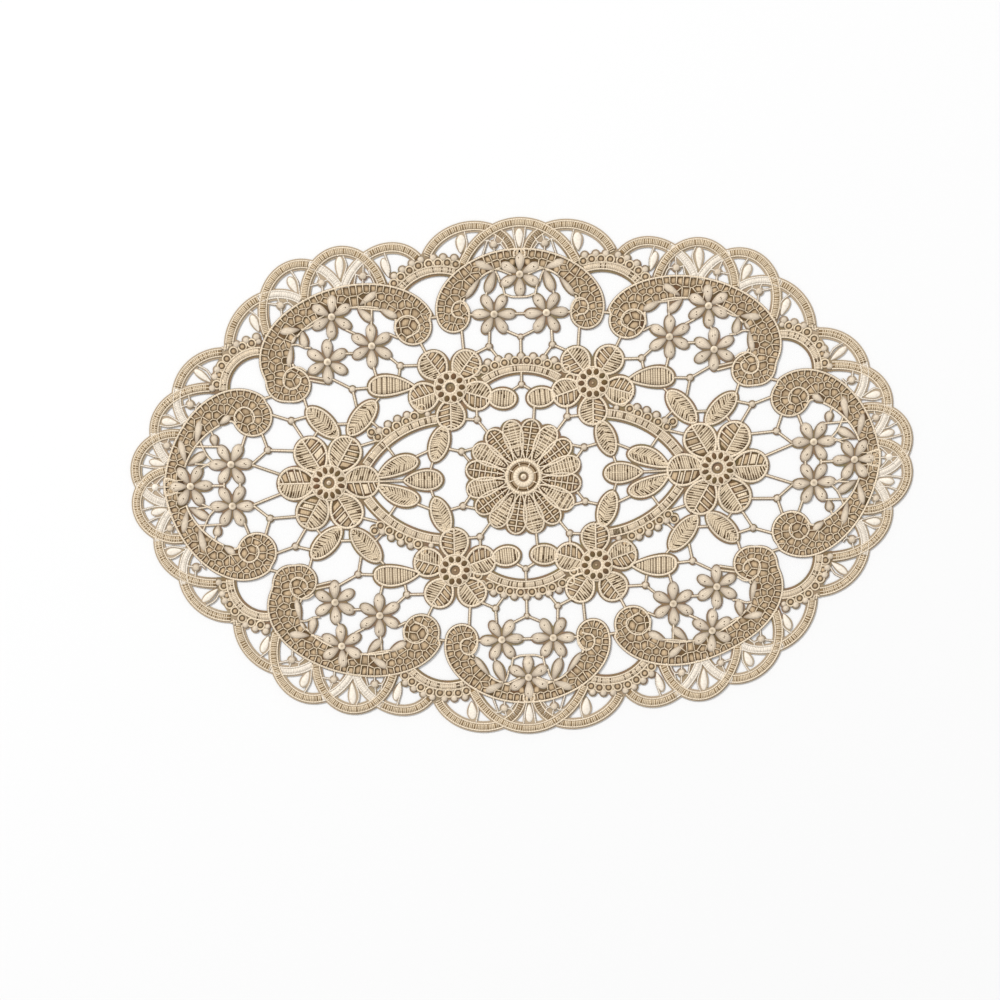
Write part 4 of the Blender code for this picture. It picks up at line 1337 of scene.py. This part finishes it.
class LACE_OT_tapes(bpy.types.Operator):
    """Stitch the inner tapes, which pass under the flowers and scrolls"""
    bl_idname = "lace.tapes"
    bl_label = "Inner tapes"

    def execute(self, context):
        works = cord, tape, stitch, slits = [Work() for _ in range(4)]
        covers = [edge for edge, _, _ in scroll_edges()]
        covers += [leaf.outline(20, -0.3) for row in FLOWERS for leaf in petals(row)]
        covers += [circle(row[1], row[2], 10.0, 24) for row in FLOWERS]
        for number, row in enumerate(TAPES):
            self.tape(number, row, covers, works)
        place_all((cord, "tape_cords", "cord"), (tape, "tape_grounds", "weave"),
                  (slits, "tape_slits", "slot"), (stitch, "tape_stitches", "cord"))
        return {"FINISHED"}

    def tape(self, number, row, covers, works):
        """One tape and its copies, left out where covers pass over it."""
        cord, tape, _, _ = works
        kind, cx, cy, r, start, stop, half = row
        more = 6 if number else 13
        start, stop = start - more, stop + more
        steps = round(r * radians(stop - start) / EVEN_STEP)
        arc = (cx, cy, r, r, 0, start, stop, steps)
        line = oval(*arc)
        free = np.array([not any(inside(edge, abs(p)) for edge in covers) for p in line])
        rng = random.Random(60 + number)
        for copy in signs(kind):
            for first, last in runs(free):
                for side in (-half + 0.2, half - 0.1):
                    rail = oval(*arc, side) * copy
                    cord.cord(rail[first:last], half=settings().cord_half, low=CORD_FOOT,
                              high=settings().cord_top - 0.1)
                middle = line[first:last] * copy
                if number >= RIBBED_TAPE:
                    cord.cord(middle, half=0.34, low=0.6, high=1.2)
                tape.cord(middle, half=half - 0.2, low=PAD_FOOT, high=0.8, shape=FLAT)
                self.stitches(arc, half, copy, first, last, works, rng)

    def stitches(self, arc, half, copy, first, last, works, rng):
        """The stitches across a stretch of tape, with a slit here and there drawn as a dark strip of
        painted shade.
        """
        _, _, stitch, slits = works
        cx, cy, r, _, _, start, stop, steps = arc
        at = first + 1.0
        while at < last - 1.5:
            angle = radians(start + (stop - start) * at / steps)
            way, middle = np.array((cos(angle), sin(angle))), np.array((cx, cy))
            ends = [(middle + way * (r + d)) * copy for d in (0.5 - half, 0, half - 0.5)]
            if rng.random() < 0.22:
                slits.cord([ends[0], ends[2]], half=0.26, low=0.7, high=0.95, shape=FLAT)
                at += 0.7
            else:
                stitch.cord(ends, half=0.46, low=0.65, high=1.05)
                at += rng.choice((0.86, 0.86, 0.9, 1.3))


class LACE_OT_leaves(bpy.types.Operator):
    """Stitch the large leaves"""
    bl_idname = "lace.leaves"
    bl_label = "Leaves"

    def execute(self, context):
        cord, pads, stitches, slits = (Work() for _ in range(4))
        works = pads, stitches, slits
        rng = random.Random(21)
        kit = settings()
        for row in LEAVES:
            leaf = Leaf(*row[1:9])
            for copy in signs(row[0]):
                cord.cord(leaf.outline(26, -0.9) * copy, half=0.75, low=CORD_FOOT,
                          high=kit.cord_top, closed=True)
                if row[9] == "across":
                    satin(works, leaf, copy, sides=((-1, 1),), pitch=kit.stitch_pitch, slope=0.0,
                          rise=0.3, inset=1.6, rng=rng,
                          slit_share=0.35 if leaf.length < 25 else 0.05)
                else:
                    satin(works, leaf, copy, sides=((0, 1), (0, -1)), pitch=kit.stitch_pitch,
                          slope=0.1, rise=0.2, inset=1.6, rng=rng, slit_share=0.3)
                    rib = [spot * copy for spot in line_along(leaf, 0.06, 0.88, 12, 0)]
                    stitches.cord(rib, half=0.4, low=STITCH_FOOT, high=1.42)
        place_all((cord, "leaf_cords", "cord"), (pads, "leaf_pads", "satin"),
                  (stitches, "leaf_stitches", "satin"), (slits, "leaf_slits", "slot"))
        return {"FINISHED"}


class LACE_OT_flowers(bpy.types.Operator):
    """Stitch the petals of the open flowers, half satin and half net"""
    bl_idname = "lace.flowers"
    bl_label = "Flowers"

    def execute(self, context):
        cord, base, stitch, slits, field, pads, light = (Work() for _ in range(7))
        rng = random.Random(33)
        for number, row in enumerate(FLOWERS):
            shape = (row[5] - 1.5, row[6] + 0.2, row[7] + 0.2, 0.7, 0.5)
            for copy in signs(row[0]):
                for leaf in petals(row[:5] + shape):
                    cord.cord(leaf.outline(30, -0.9) * copy, half=0.85, low=CORD_FOOT,
                              high=settings().cord_top, closed=True)
                    lay_pad(field, leaf.outline(14, -1.3), copy, low=PAD_FOOT, high=0.76, inner=0.85)
                    rib = [spot * copy for spot in line_along(leaf, 0.12, 0.83, 12, 0)]
                    cord.cord(rib, half=0.6, low=STITCH_FOOT, high=1.5)
                    satin((base, stitch, slits), leaf, copy, sides=((-0.04, -1),),
                          pitch=settings().stitch_pitch, slope=0.1, rise=0.2, inset=1.7, rng=rng,
                          slit_share=0.6)
                    self.net_half(leaf, copy, cord, pads, light if number else pads, rng)
        place_all((cord, "flower_cords", "cord"), (base, "flower_pads", "satin"),
                  (stitch, "flower_stitches", "satin"), (slits, "flower_slits", "slot"),
                  (field, "flower_fields", "field"), (pads, "flower_cells", "pad"),
                  (light, "flower_windows", "weave"))
        return {"FINISHED"}

    def net_half(self, leaf, copy, cord, pads, light, rng):
        """The rungs across the left half of a petal and the cells between them."""
        shares = [0.16] + [0.33 + 0.17 * k + rng.uniform(-0.03, 0.03) for k in range(4)] + [0.97]
        for share in shares[1:5]:
            rung = [leaf.spot(share + 0.09 * t, t, 1.6) * copy for t in (0, 0.33, 0.66, 1)]
            cord.cord(rung, half=0.46, low=STITCH_FOOT, high=1.3)
        for k, (s0, s1) in enumerate(zip(shares, shares[1:])):
            cell = between(leaf, s0 + 0.04, s1 - 0.04, 0.16, 0.88, 1.9, slope=0.09, steps=3)
            work = light if light is not pads and k in (1, 2) and rng.random() < 0.5 else pads
            lay_pad(work, cell, copy, low=0.7, high=1.08, inner=0.6)


class LACE_OT_rosette(bpy.types.Operator):
    """Stitch the round centre flower"""
    bl_idname = "lace.rosette"
    bl_label = "Centre flower"

    def execute(self, context):
        cord, base, stitch, slits, field, pads, slot = (Work() for _ in range(7))
        rng = random.Random(57)
        for number, leaf in enumerate(petals(ROSETTE)):
            sides = [[leaf.spot(0.03 + 0.97 * (1 - cos(pi * k / 22)) / 2, t, 1.2) for k in range(23)]
                     for t in (-1, 1)]
            cord.cord(sides[0] + sides[1][-2::-1], half=0.68, low=CORD_FOOT, high=settings().cord_top)
            field.pad(leaf.outline(12, -0.8), low=PAD_FOOT, high=0.75, inner=0.85)
            if number % 2:
                self.net_petal(leaf, cord, pads)
            else:
                satin((base, stitch, slits), leaf, (1, 1), sides=((-1, 1),), pitch=1.6, slope=0.0,
                      rise=0.15, inset=1.5, rng=rng, slit_share=0.6)
                for t in (-0.3, 0.3):
                    cord.cord(line_along(leaf, 0.05, 0.87, 12, t, 0.8), half=0.3, low=STITCH_FOOT,
                              high=1.32)
            # dark slots of painted shade near the base of each petal
            for t in (-0.5, 0.5):
                slot.cord(line_along(leaf, 0.12, 0.2, 3, t, 1.0), half=(0.3, 0.42, 0.42, 0.2),
                          low=0.6, high=1.36, shape=FLAT)
        self.heart(cord, stitch, pads, slot)
        place_all((cord, "rosette_cords", "cord"), (field, "rosette_fields", "field"),
                  (base, "rosette_pads", "satin"), (stitch, "rosette_stitches", "satin"),
                  (slits, "rosette_slits", "slot"), (slot, "rosette_slots", "slot"),
                  (pads, "rosette_cells", "pad"))
        return {"FINISHED"}

    def net_petal(self, leaf, cord, pads):
        """A petal of net: its rib, its rungs and two cells between each two rungs."""
        cord.cord(line_along(leaf, 0.05, 0.9, 12, 0), half=0.42, low=STITCH_FOOT, high=1.4)
        shares = (0.12, 0.28, 0.42, 0.56, 0.69, 0.82, 0.96)
        for share in shares[1:6]:
            rung = [leaf.spot(share, t, 1.3) for t in (-1, -0.5, 0, 0.5, 1)]
            cord.cord(rung, half=0.36, low=STITCH_FOOT, high=1.3)
        for s0, s1 in zip(shares, shares[1:]):
            for t0, t1 in ((-0.8, -0.24), (0.24, 0.8)):
                cell = between(leaf, s0 + 0.04, s1 - 0.04, t0, t1, 1.9, steps=2)
                pads.pad(cell, low=0.7, high=1.08, inner=0.6)

    def heart(self, cord, stitch, pads, slot):
        """The padded ring in the middle with a dark ring of painted shade round it, its stitches, its
        spokes and its button.
        """
        ring = 9.6
        pads.cord(circle(0, 0, 7.0, 48), half=1.7, low=CORD_FOOT, high=0.91, shape=FLAT, closed=True)
        # a dark ring of painted shade round the pad
        slot.cord(circle(0, 0, 7.6, 48), half=0.36, low=CORD_FOOT, high=1.02, shape=FLAT, closed=True)
        cord.cord(circle(0, 0, ring, 48), half=1.2, low=CORD_FOOT, high=1.7, closed=True)
        count = 44
        for k in range(count):
            c, s = cos(tau * k / count), sin(tau * k / count)
            stitch.cord([(r * c, r * s) for r in (8.8, ring, 10.4)], half=0.3, low=1.2,
                        high=[1.5, 1.8, 1.5])
        for k in range(8):
            c, s = cos(tau * (k + 0.4) / 8), sin(tau * (k + 0.4) / 8)
            cord.cord([(5.8 * c, 5.8 * s), (8.6 * c, 8.6 * s)], half=0.42, low=0.5, high=1.35)
        cord.cord(circle(0, 0, 4.5, 36), half=1.95, low=CORD_FOOT, high=1.8, closed=True)


class LACE_OT_scrolls(bpy.types.Operator):
    """Stitch the net-filled scrolls with their curled ends"""
    bl_idname = "lace.scrolls"
    bl_label = "Scrolls"

    def execute(self, context):
        cord, field, net, pads = (Work() for _ in range(4))
        over = raised_shapes()
        for number, (edge, shape, verts) in enumerate(scroll_edges()):
            rng = random.Random(40 + number)
            self.edge_cord(cord, edge, over)
            self.field(field, shape, verts)
            curls = [curl for curl in CURLS if inside(edge, curl[:2])]
            threads, cells = voronoi(self.seeds(edge, curls, rng))
            self.net(net, edge, threads, over)
            self.cells(pads, edge, cells, over, rng)
        for winding in WINDINGS:
            path = curve(winding, 1.1)
            for copy in signs("xy"):
                cord.cord(path * copy, half=0.6, low=0.6, high=settings().cord_top + 0.15)
        place_all((cord, "scroll_cords", "cord"), (field, "scroll_fields", "field"),
                  (net, "scroll_net", "net"), (pads, "scroll_cells", "pad"))
        return {"FINISHED"}

    def edge_cord(self, work, edge, over):
        """The cord round a scroll, eased where arcs meet and left out under petals."""
        line = even(edge, 1.2)
        for _ in range(6):
            line = (np.roll(line, 1, 0) + 2 * line + np.roll(line, -1, 0)) / 4
        free = np.array([not any(inside(shape, p) for shape in over) for p in line])
        half, top = settings().cord_half + 0.1, settings().cord_top + 0.1
        first = int(np.argmin(free))
        turned, kept = np.roll(line, -first, 0), np.roll(free, -first)
        for copy in signs("xy"):
            if free.all():
                work.cord(line * copy, half, CORD_FOOT, top, closed=True)
                continue
            for a, b in runs(kept):
                work.cord(turned[a:b] * copy, half, CORD_FOOT, top)

    def field(self, work, shape, verts):
        """The dark net ground of a scroll, a thin plate of its triangles; its dark colour is partly
        painted shade between the cells.
        """
        used = sorted({k for tri in shape for k in tri})
        number = {k: n for n, k in enumerate(used)}
        flat = np.array([(verts[k][0], verts[k][1]) for k in used])
        count = len(used)
        for copy in signs("xy"):
            points = np.vstack([np.column_stack([flat * copy, np.full(count, z)])
                                for z in (0.72, CORD_FOOT)])
            faces = []
            for tri in shape:
                a, b, c = (number[k] for k in tri)
                faces += [(a, b, c), (count + c, count + b, count + a)]
            for loop in edge_loops(shape, verts):
                for p, q in zip(loop, loop[1:] + loop[:1]):
                    a, b = number[p], number[q]
                    faces.append((a, count + a, count + b, b))
            if copy[0] * copy[1] < 0:
                faces = [face[::-1] for face in faces]
            work.add(points, faces, points[:, :2], 0.5)

    def seeds(self, edge, curls, rng):
        """A seed for each cell: round the curled ends, along the edge and over the rest.

        Across the edge from each seed along it lies one more, which closes its cell.
        """
        size = settings().cell
        loose = (-0.22, 0.22)
        apart = 0.86        # rows of cells lie this share of a cell apart
        seeds, guards = [], []
        for x, y, r, start in curls:
            for reach, count in ((0.5 * r, 3), (r + 0.45 * size, round(tau * (r + 1.4) / size))):
                for k in range(count):
                    angle = tau * (k + 0.3 * rng.random()) / count + radians(start)
                    seeds.append((x + reach * cos(angle), y + reach * sin(angle)))
        rim = even(edge, 0.88 * size)
        run = np.roll(rim, -1, 0) - np.roll(rim, 1, 0)
        run /= np.hypot(run[:, 0], run[:, 1])[:, None]
        for (x, y), (ux, uy) in zip(rim, run):
            inset = size * rng.uniform(0.42, 0.56)
            spot = (x - uy * inset, y + ux * inset)
            guards.append((x + uy * inset, y - ux * inset))
            near = min((hypot(spot[0] - c[0], spot[1] - c[1]) - c[2] for c in curls), default=99)
            if inside(edge, spot) and near > 0.85 * size:
                seeds.append(spot)
        low, high = edge.min(0), edge.max(0)
        for row in range(-1, int((high[1] - low[1]) / (size * apart)) + 2):
            for col in range(-1, int((high[0] - low[0]) / size) + 2):
                x = low[0] + (col + 0.5 * (row % 2) + rng.uniform(*loose)) * size
                y = low[1] + (row + rng.uniform(*loose)) * size * apart
                gap = np.hypot(edge[:, 0] - x, edge[:, 1] - y).min()
                if gap > 1.02 * size and inside(edge, (x, y)) and not any(
                        hypot(x - c[0], y - c[1]) < c[2] + 0.95 * size for c in curls):
                    seeds.append((x, y))
        return seeds + [spot for spot in guards if not inside(edge, spot)]

    def net(self, work, edge, threads, over):
        """The threads between the cells, within the edge and not under petals."""
        for a, b in threads:
            piece = clip(edge, a, b)
            if piece is None:
                continue
            middle = (np.asarray(piece[0]) + np.asarray(piece[1])) / 2
            if not any(inside(shape, middle) for shape in over):
                for copy in signs("xy"):
                    work.cord(np.array([piece[0], middle, piece[1]]) * copy, half=0.4, low=0.6,
                              high=1.5)

    def cells(self, work, edge, cells, over, rng):
        """A rounded pad in each cell, set a little down and to the right, so that more of the dark
        field shows on its upper left as a painted shadow of the threads.
        """
        # painted shadow: the pads move away from the light so the dark field shows beside them on the
        # upper left
        shadow_shift = np.array((0.2, -0.2))
        for centre, loop in cells:
            if not inside(edge, centre) or any(inside(shape, centre) for shape in over):
                continue
            corners = []
            for corner in loop:
                kept = clip(edge, centre, corner)
                share = 1.0 if inside(edge, corner) else 0.8
                corners.append(centre + (kept[1] - centre) * share)
            corners = np.array(corners)
            ahead = np.roll(corners, -1, 0)
            rounded = np.stack([0.7 * corners + 0.3 * ahead, 0.3 * corners + 0.7 * ahead], 1)
            small = centre + (rounded.reshape(-1, 2) - centre) * 0.77
            if area_of([tuple(p) for p in small]) > 1.0:
                top = 1.0 + 0.16 * rng.random()
                for copy in signs("xy"):
                    lay_pad(work, small + shadow_shift * copy, copy, low=0.66, high=top, inner=0.32,
                            shoulder=0.42)


class LACE_OT_bars(bpy.types.Operator):
    """Stitch the bars that join the motifs"""
    bl_idname = "lace.bars"
    bl_label = "Bars"

    def execute(self, context):
        work = Work()
        top = 1.2
        for kind, x0, y0, x1, y1 in BARS:
            count = max(3, round(hypot(x1 - x0, y1 - y0) / 2.0))
            path = np.array([(x0 + (x1 - x0) * k / count, y0 + (y1 - y0) * k / count)
                             for k in range(count + 1)])
            for copy in signs(kind):
                work.cord(path * copy, half=settings().cord_half + 0.04, low=CORD_FOOT, high=top)
        for kind, path in run_on(TIES):
            for copy in signs(kind):
                work.cord(curve(path, 1.2) * copy, half=0.6, low=CORD_FOOT, high=top)
        place_all((work, "bar_threads", "cord"))
        return {"FINISHED"}


class LACE_OT_blossoms(bpy.types.Operator):
    """Model one raised petal and lay it round every blossom, with the buds"""
    bl_idname = "lace.blossoms"
    bl_label = "Blossoms and buds"

    def execute(self, context):
        rows, holes = [], Work()
        rng = random.Random(11)
        for kind, x, y, first in BLOSSOMS:
            for k in range(BLOSSOM_PETALS):
                turn = first + 360 / BLOSSOM_PETALS * k + rng.uniform(-3, 3)
                c, s = cos(radians(turn)), sin(radians(turn))
                rows.append((kind, x + 1.5 * c, y + 1.5 * s, turn, rng.uniform(10.9, 11.5),
                             rng.uniform(6.4, 7.0), 1.45, 0.5))
                # each pinhole is a small dark pad of painted shade
                for _ in range(rng.choice((1, 2, 2))):
                    reach, side = rng.uniform(7.6, 9.8), rng.uniform(-0.9, 0.9)
                    for copy in signs(kind):
                        spot = np.array((x + reach * c - side * s, y + reach * s + side * c)) * copy
                        holes.pad(spot + circle(0, 0, 0.38, 6), low=1.4, high=1.9, inner=0.8)
        rows += [self.bud(row, longer=0.4, wider=0.5, high=1.3) for row in BUDS]
        lay_copies(petal_stamp(), rows, "raised_petals", "pale")
        rows = [self.bud(row, longer=0.0, wider=0.0, high=0.7) for row in WEB_BUDS]
        lay_copies(petal_stamp(), rows, "web_buds", "web_pad")
        place_all((holes, "petal_pinholes", "slot"))
        return {"FINISHED"}

    def bud(self, row, longer, wider, high):
        """Where a bud lies, for lay_copies."""
        kind, x0, y0, x1, y1, width = row
        length = hypot(x1 - x0, y1 - y0) + longer
        return kind, x0, y0, heading(x1 - x0, y1 - y0), length, width + wider, high, SHEET_TOP


class LACE_OT_beads(bpy.types.Operator):
    """Model a bead and lay the beads, knots and blossom hearts"""
    bl_idname = "lace.beads"
    bl_label = "Beads and knots"

    def execute(self, context):
        beads, knots = [], []
        for kind, x, y, r in BEADS:
            if hypot(x / KNOT_OVAL[0], y / KNOT_OVAL[1]) < KNOT_SHARE:
                beads.append((kind, x, y, 0, r + 0.15, r + 0.15, 1.3, SHEET_TOP))
            else:
                knots.append((kind, x, y, 0, r, r, 0.9, SHEET_TOP))
        hearts = [(kind, x, y, 0, 2.2, 2.2, 0.9, 1.1) for kind, x, y, _ in BLOSSOMS]
        hearts.append(("", 0.0, 0.0, 0, 1.75, 1.75, 0.9, 0.9))
        hearts.append((FLOWERS[1][0], *FLOWERS[1][1:3], 0, 1.4, 1.4, 0.9, 0.6))
        lay_copies(bead_stamp(), beads, "beads_and_knots", "pale")
        lay_copies(bead_stamp(), hearts, "blossom_hearts", "cord")
        lay_copies(bead_stamp(), knots, "web_knots", "web_pad")
        return {"FINISHED"}


class LACE_OT_eyelets(bpy.types.Operator):
    """Model a ring and lay the eyelets, and stitch the pierced hearts of the flowers"""
    bl_idname = "lace.eyelets"
    bl_label = "Eyelets"

    def execute(self, context):
        rings = [(kind, x, y, 0, 2.3, 2.3, 1.9, 0.85) for kind, x, y in EYELETS]
        fills, spokes, hollows = (Work() for _ in range(3))
        for kind, x, y in EYELETS:
            for copy in signs(kind):
                # the hollow of each eyelet is a dark pad of painted shade
                lay_pad(hollows, circle(x, y, 2.0, 12), copy, low=CORD_FOOT, high=0.7, inner=0.8)
                self.fill(fills, x, y, 1.5, copy)
        kind, x, y = FLOWERS[0][:3]
        for copy in signs(kind):
            self.fill(fills, x, y, 0.9, copy)
        for row in HEARTS:
            self.heart(row, spokes, hollows)
        place_all((spokes, "flower_spokes", "cord"), (hollows, "eyelet_hollows", "field"))
        lay_copies(ring_stamp(), rings, "eyelet_rings", "satin")
        place_all((fills, "eyelet_fills", "pad"))
        return {"FINISHED"}

    def fill(self, work, x, y, radius, copy):
        """The round filling of an eyelet."""
        lay_pad(work, circle(x, y, radius, 10), copy, low=0.5, high=1.1, inner=0.4, shoulder=0.5)

    def heart(self, row, spokes, hollows):
        """A pierced heart: a flat disc, its ring, its holes as dark pads of painted shade with their
        rims, and its button.
        """
        (kind, x, y, _, first, *_), holes, ring, button, reach, long, wide = row
        middle, half = (ring + button) / 2, (ring - button) / 2
        for copy in signs(kind):
            spokes.cord(circle(x, y, middle, 40) * copy, half, CORD_FOOT, high=1.54, shape=FLAT,
                        closed=True)
            spokes.cord(circle(x, y, ring, 48) * copy, half=0.6, low=CORD_FOOT, high=1.85,
                        closed=True)
            for k in range(holes):
                turn = first + 360 * (k + 0.5) / holes
                spot = (x + reach * cos(radians(turn)), y + reach * sin(radians(turn)))
                # each hole is a dark pad of painted shade
                lay_pad(hollows, oval(*spot, long, wide, turn, 0, 360, 12)[:-1], copy, low=1.1,
                        high=1.6, inner=0.85)
                rim = oval(*spot, long + 0.25, wide + 0.25, turn, 0, 360, 14)[:-1]
                spokes.cord(rim * copy, half=0.32, low=1.1, high=1.82, closed=True)
            spokes.cord(circle(x, y, button, 32) * copy, half=0.95, low=0.6, high=2.0, closed=True)


# --------------------------------------------------------------------- stage

class LACE_OT_stage(bpy.types.Operator):
    """Set the pale floor, the soft lights and the camera"""
    bl_idname = "lace.stage"
    bl_label = "Stage"

    def execute(self, context):
        self.floor()
        self.room(context.scene)
        self.lamp(context.scene, "key", at=(-4.8, 5.4, 6.6), size=2.0, power=780.0)
        self.lamp(context.scene, "fill", at=(1.8, -1.4, 3.0), size=2.4, power=14.0)
        self.camera(context.scene)
        return {"FINISHED"}

    def floor(self):
        """A wide pale floor just under the lace."""
        deselect()
        bpy.ops.mesh.primitive_plane_add(size=4.0, location=(0, 0, -0.0002))
        floor = bpy.context.active_object
        floor.name = "floor"
        bpy.ops.object.transform_apply(location=True, rotation=True, scale=True)
        floor.data.materials.append(table_material())

    def room(self, scene):
        """Even light from all round."""
        world = bpy.data.worlds.new("soft_room")
        world.use_nodes = True
        background = world.node_tree.nodes["Background"]
        background.inputs["Color"].default_value = (1, 1, 1, 1)
        background.inputs["Strength"].default_value = 0.66
        scene.world = world
        scene.view_settings.view_transform = "Standard"

    def lamp(self, scene, name, at, size, power):
        """A soft lamp that looks at the lace."""
        data = bpy.data.lights.new(name, "AREA")
        data.size = size
        data.energy = power
        lamp = bpy.data.objects.new(name, data)
        lamp.location = at
        lamp.rotation_euler = (-Vector(at)).to_track_quat("-Z", "Y").to_euler()
        scene.collection.objects.link(lamp)

    def camera(self, scene):
        """A camera straight above, a little off the middle and turned a little."""
        data = bpy.data.cameras.new("camera")
        data.lens = 100.0
        data.sensor_width = 36.0
        camera = bpy.data.objects.new("camera", data)
        camera.location = (-0.0135, -0.0138, 1.6025)
        camera.rotation_euler = (0.0, 0.0, radians(-2.0))
        scene.collection.objects.link(camera)
        scene.camera = camera


# -------------------------------------------------------------------- add-on

OPERATORS = (
    LACE_OT_ground, LACE_OT_border, LACE_OT_tapes, LACE_OT_leaves, LACE_OT_flowers,
    LACE_OT_rosette, LACE_OT_scrolls, LACE_OT_bars, LACE_OT_blossoms, LACE_OT_beads,
    LACE_OT_eyelets, LACE_OT_stage,
)


class LACE_PT_panel(bpy.types.Panel):
    """The doily's pieces in the sidebar"""
    bl_idname = "LACE_PT_panel"
    bl_label = "Lace doily"
    bl_space_type = "VIEW_3D"
    bl_region_type = "UI"
    bl_category = "Lace"

    def draw(self, context):
        for name in LaceSettings.__annotations__:
            self.layout.prop(context.scene.lace_settings, name)
        for operator in OPERATORS:
            self.layout.operator(operator.bl_idname)


CLASSES = (LaceSettings, LACE_PT_panel) + OPERATORS


def register():
    """Add the doily's settings, operators and panel."""
    for cls in CLASSES:
        bpy.utils.register_class(cls)
    bpy.types.Scene.lace_settings = bpy.props.PointerProperty(type=LaceSettings)


def unregister():
    """Take them away again."""
    del bpy.types.Scene.lace_settings
    for cls in reversed(CLASSES):
        bpy.utils.unregister_class(cls)


def main():
    """Make every piece in turn."""
    register()
    for operator in OPERATORS:
        group, name = operator.bl_idname.split(".")
        getattr(getattr(bpy.ops, group), name)()


if __name__ == "__main__":
    main()
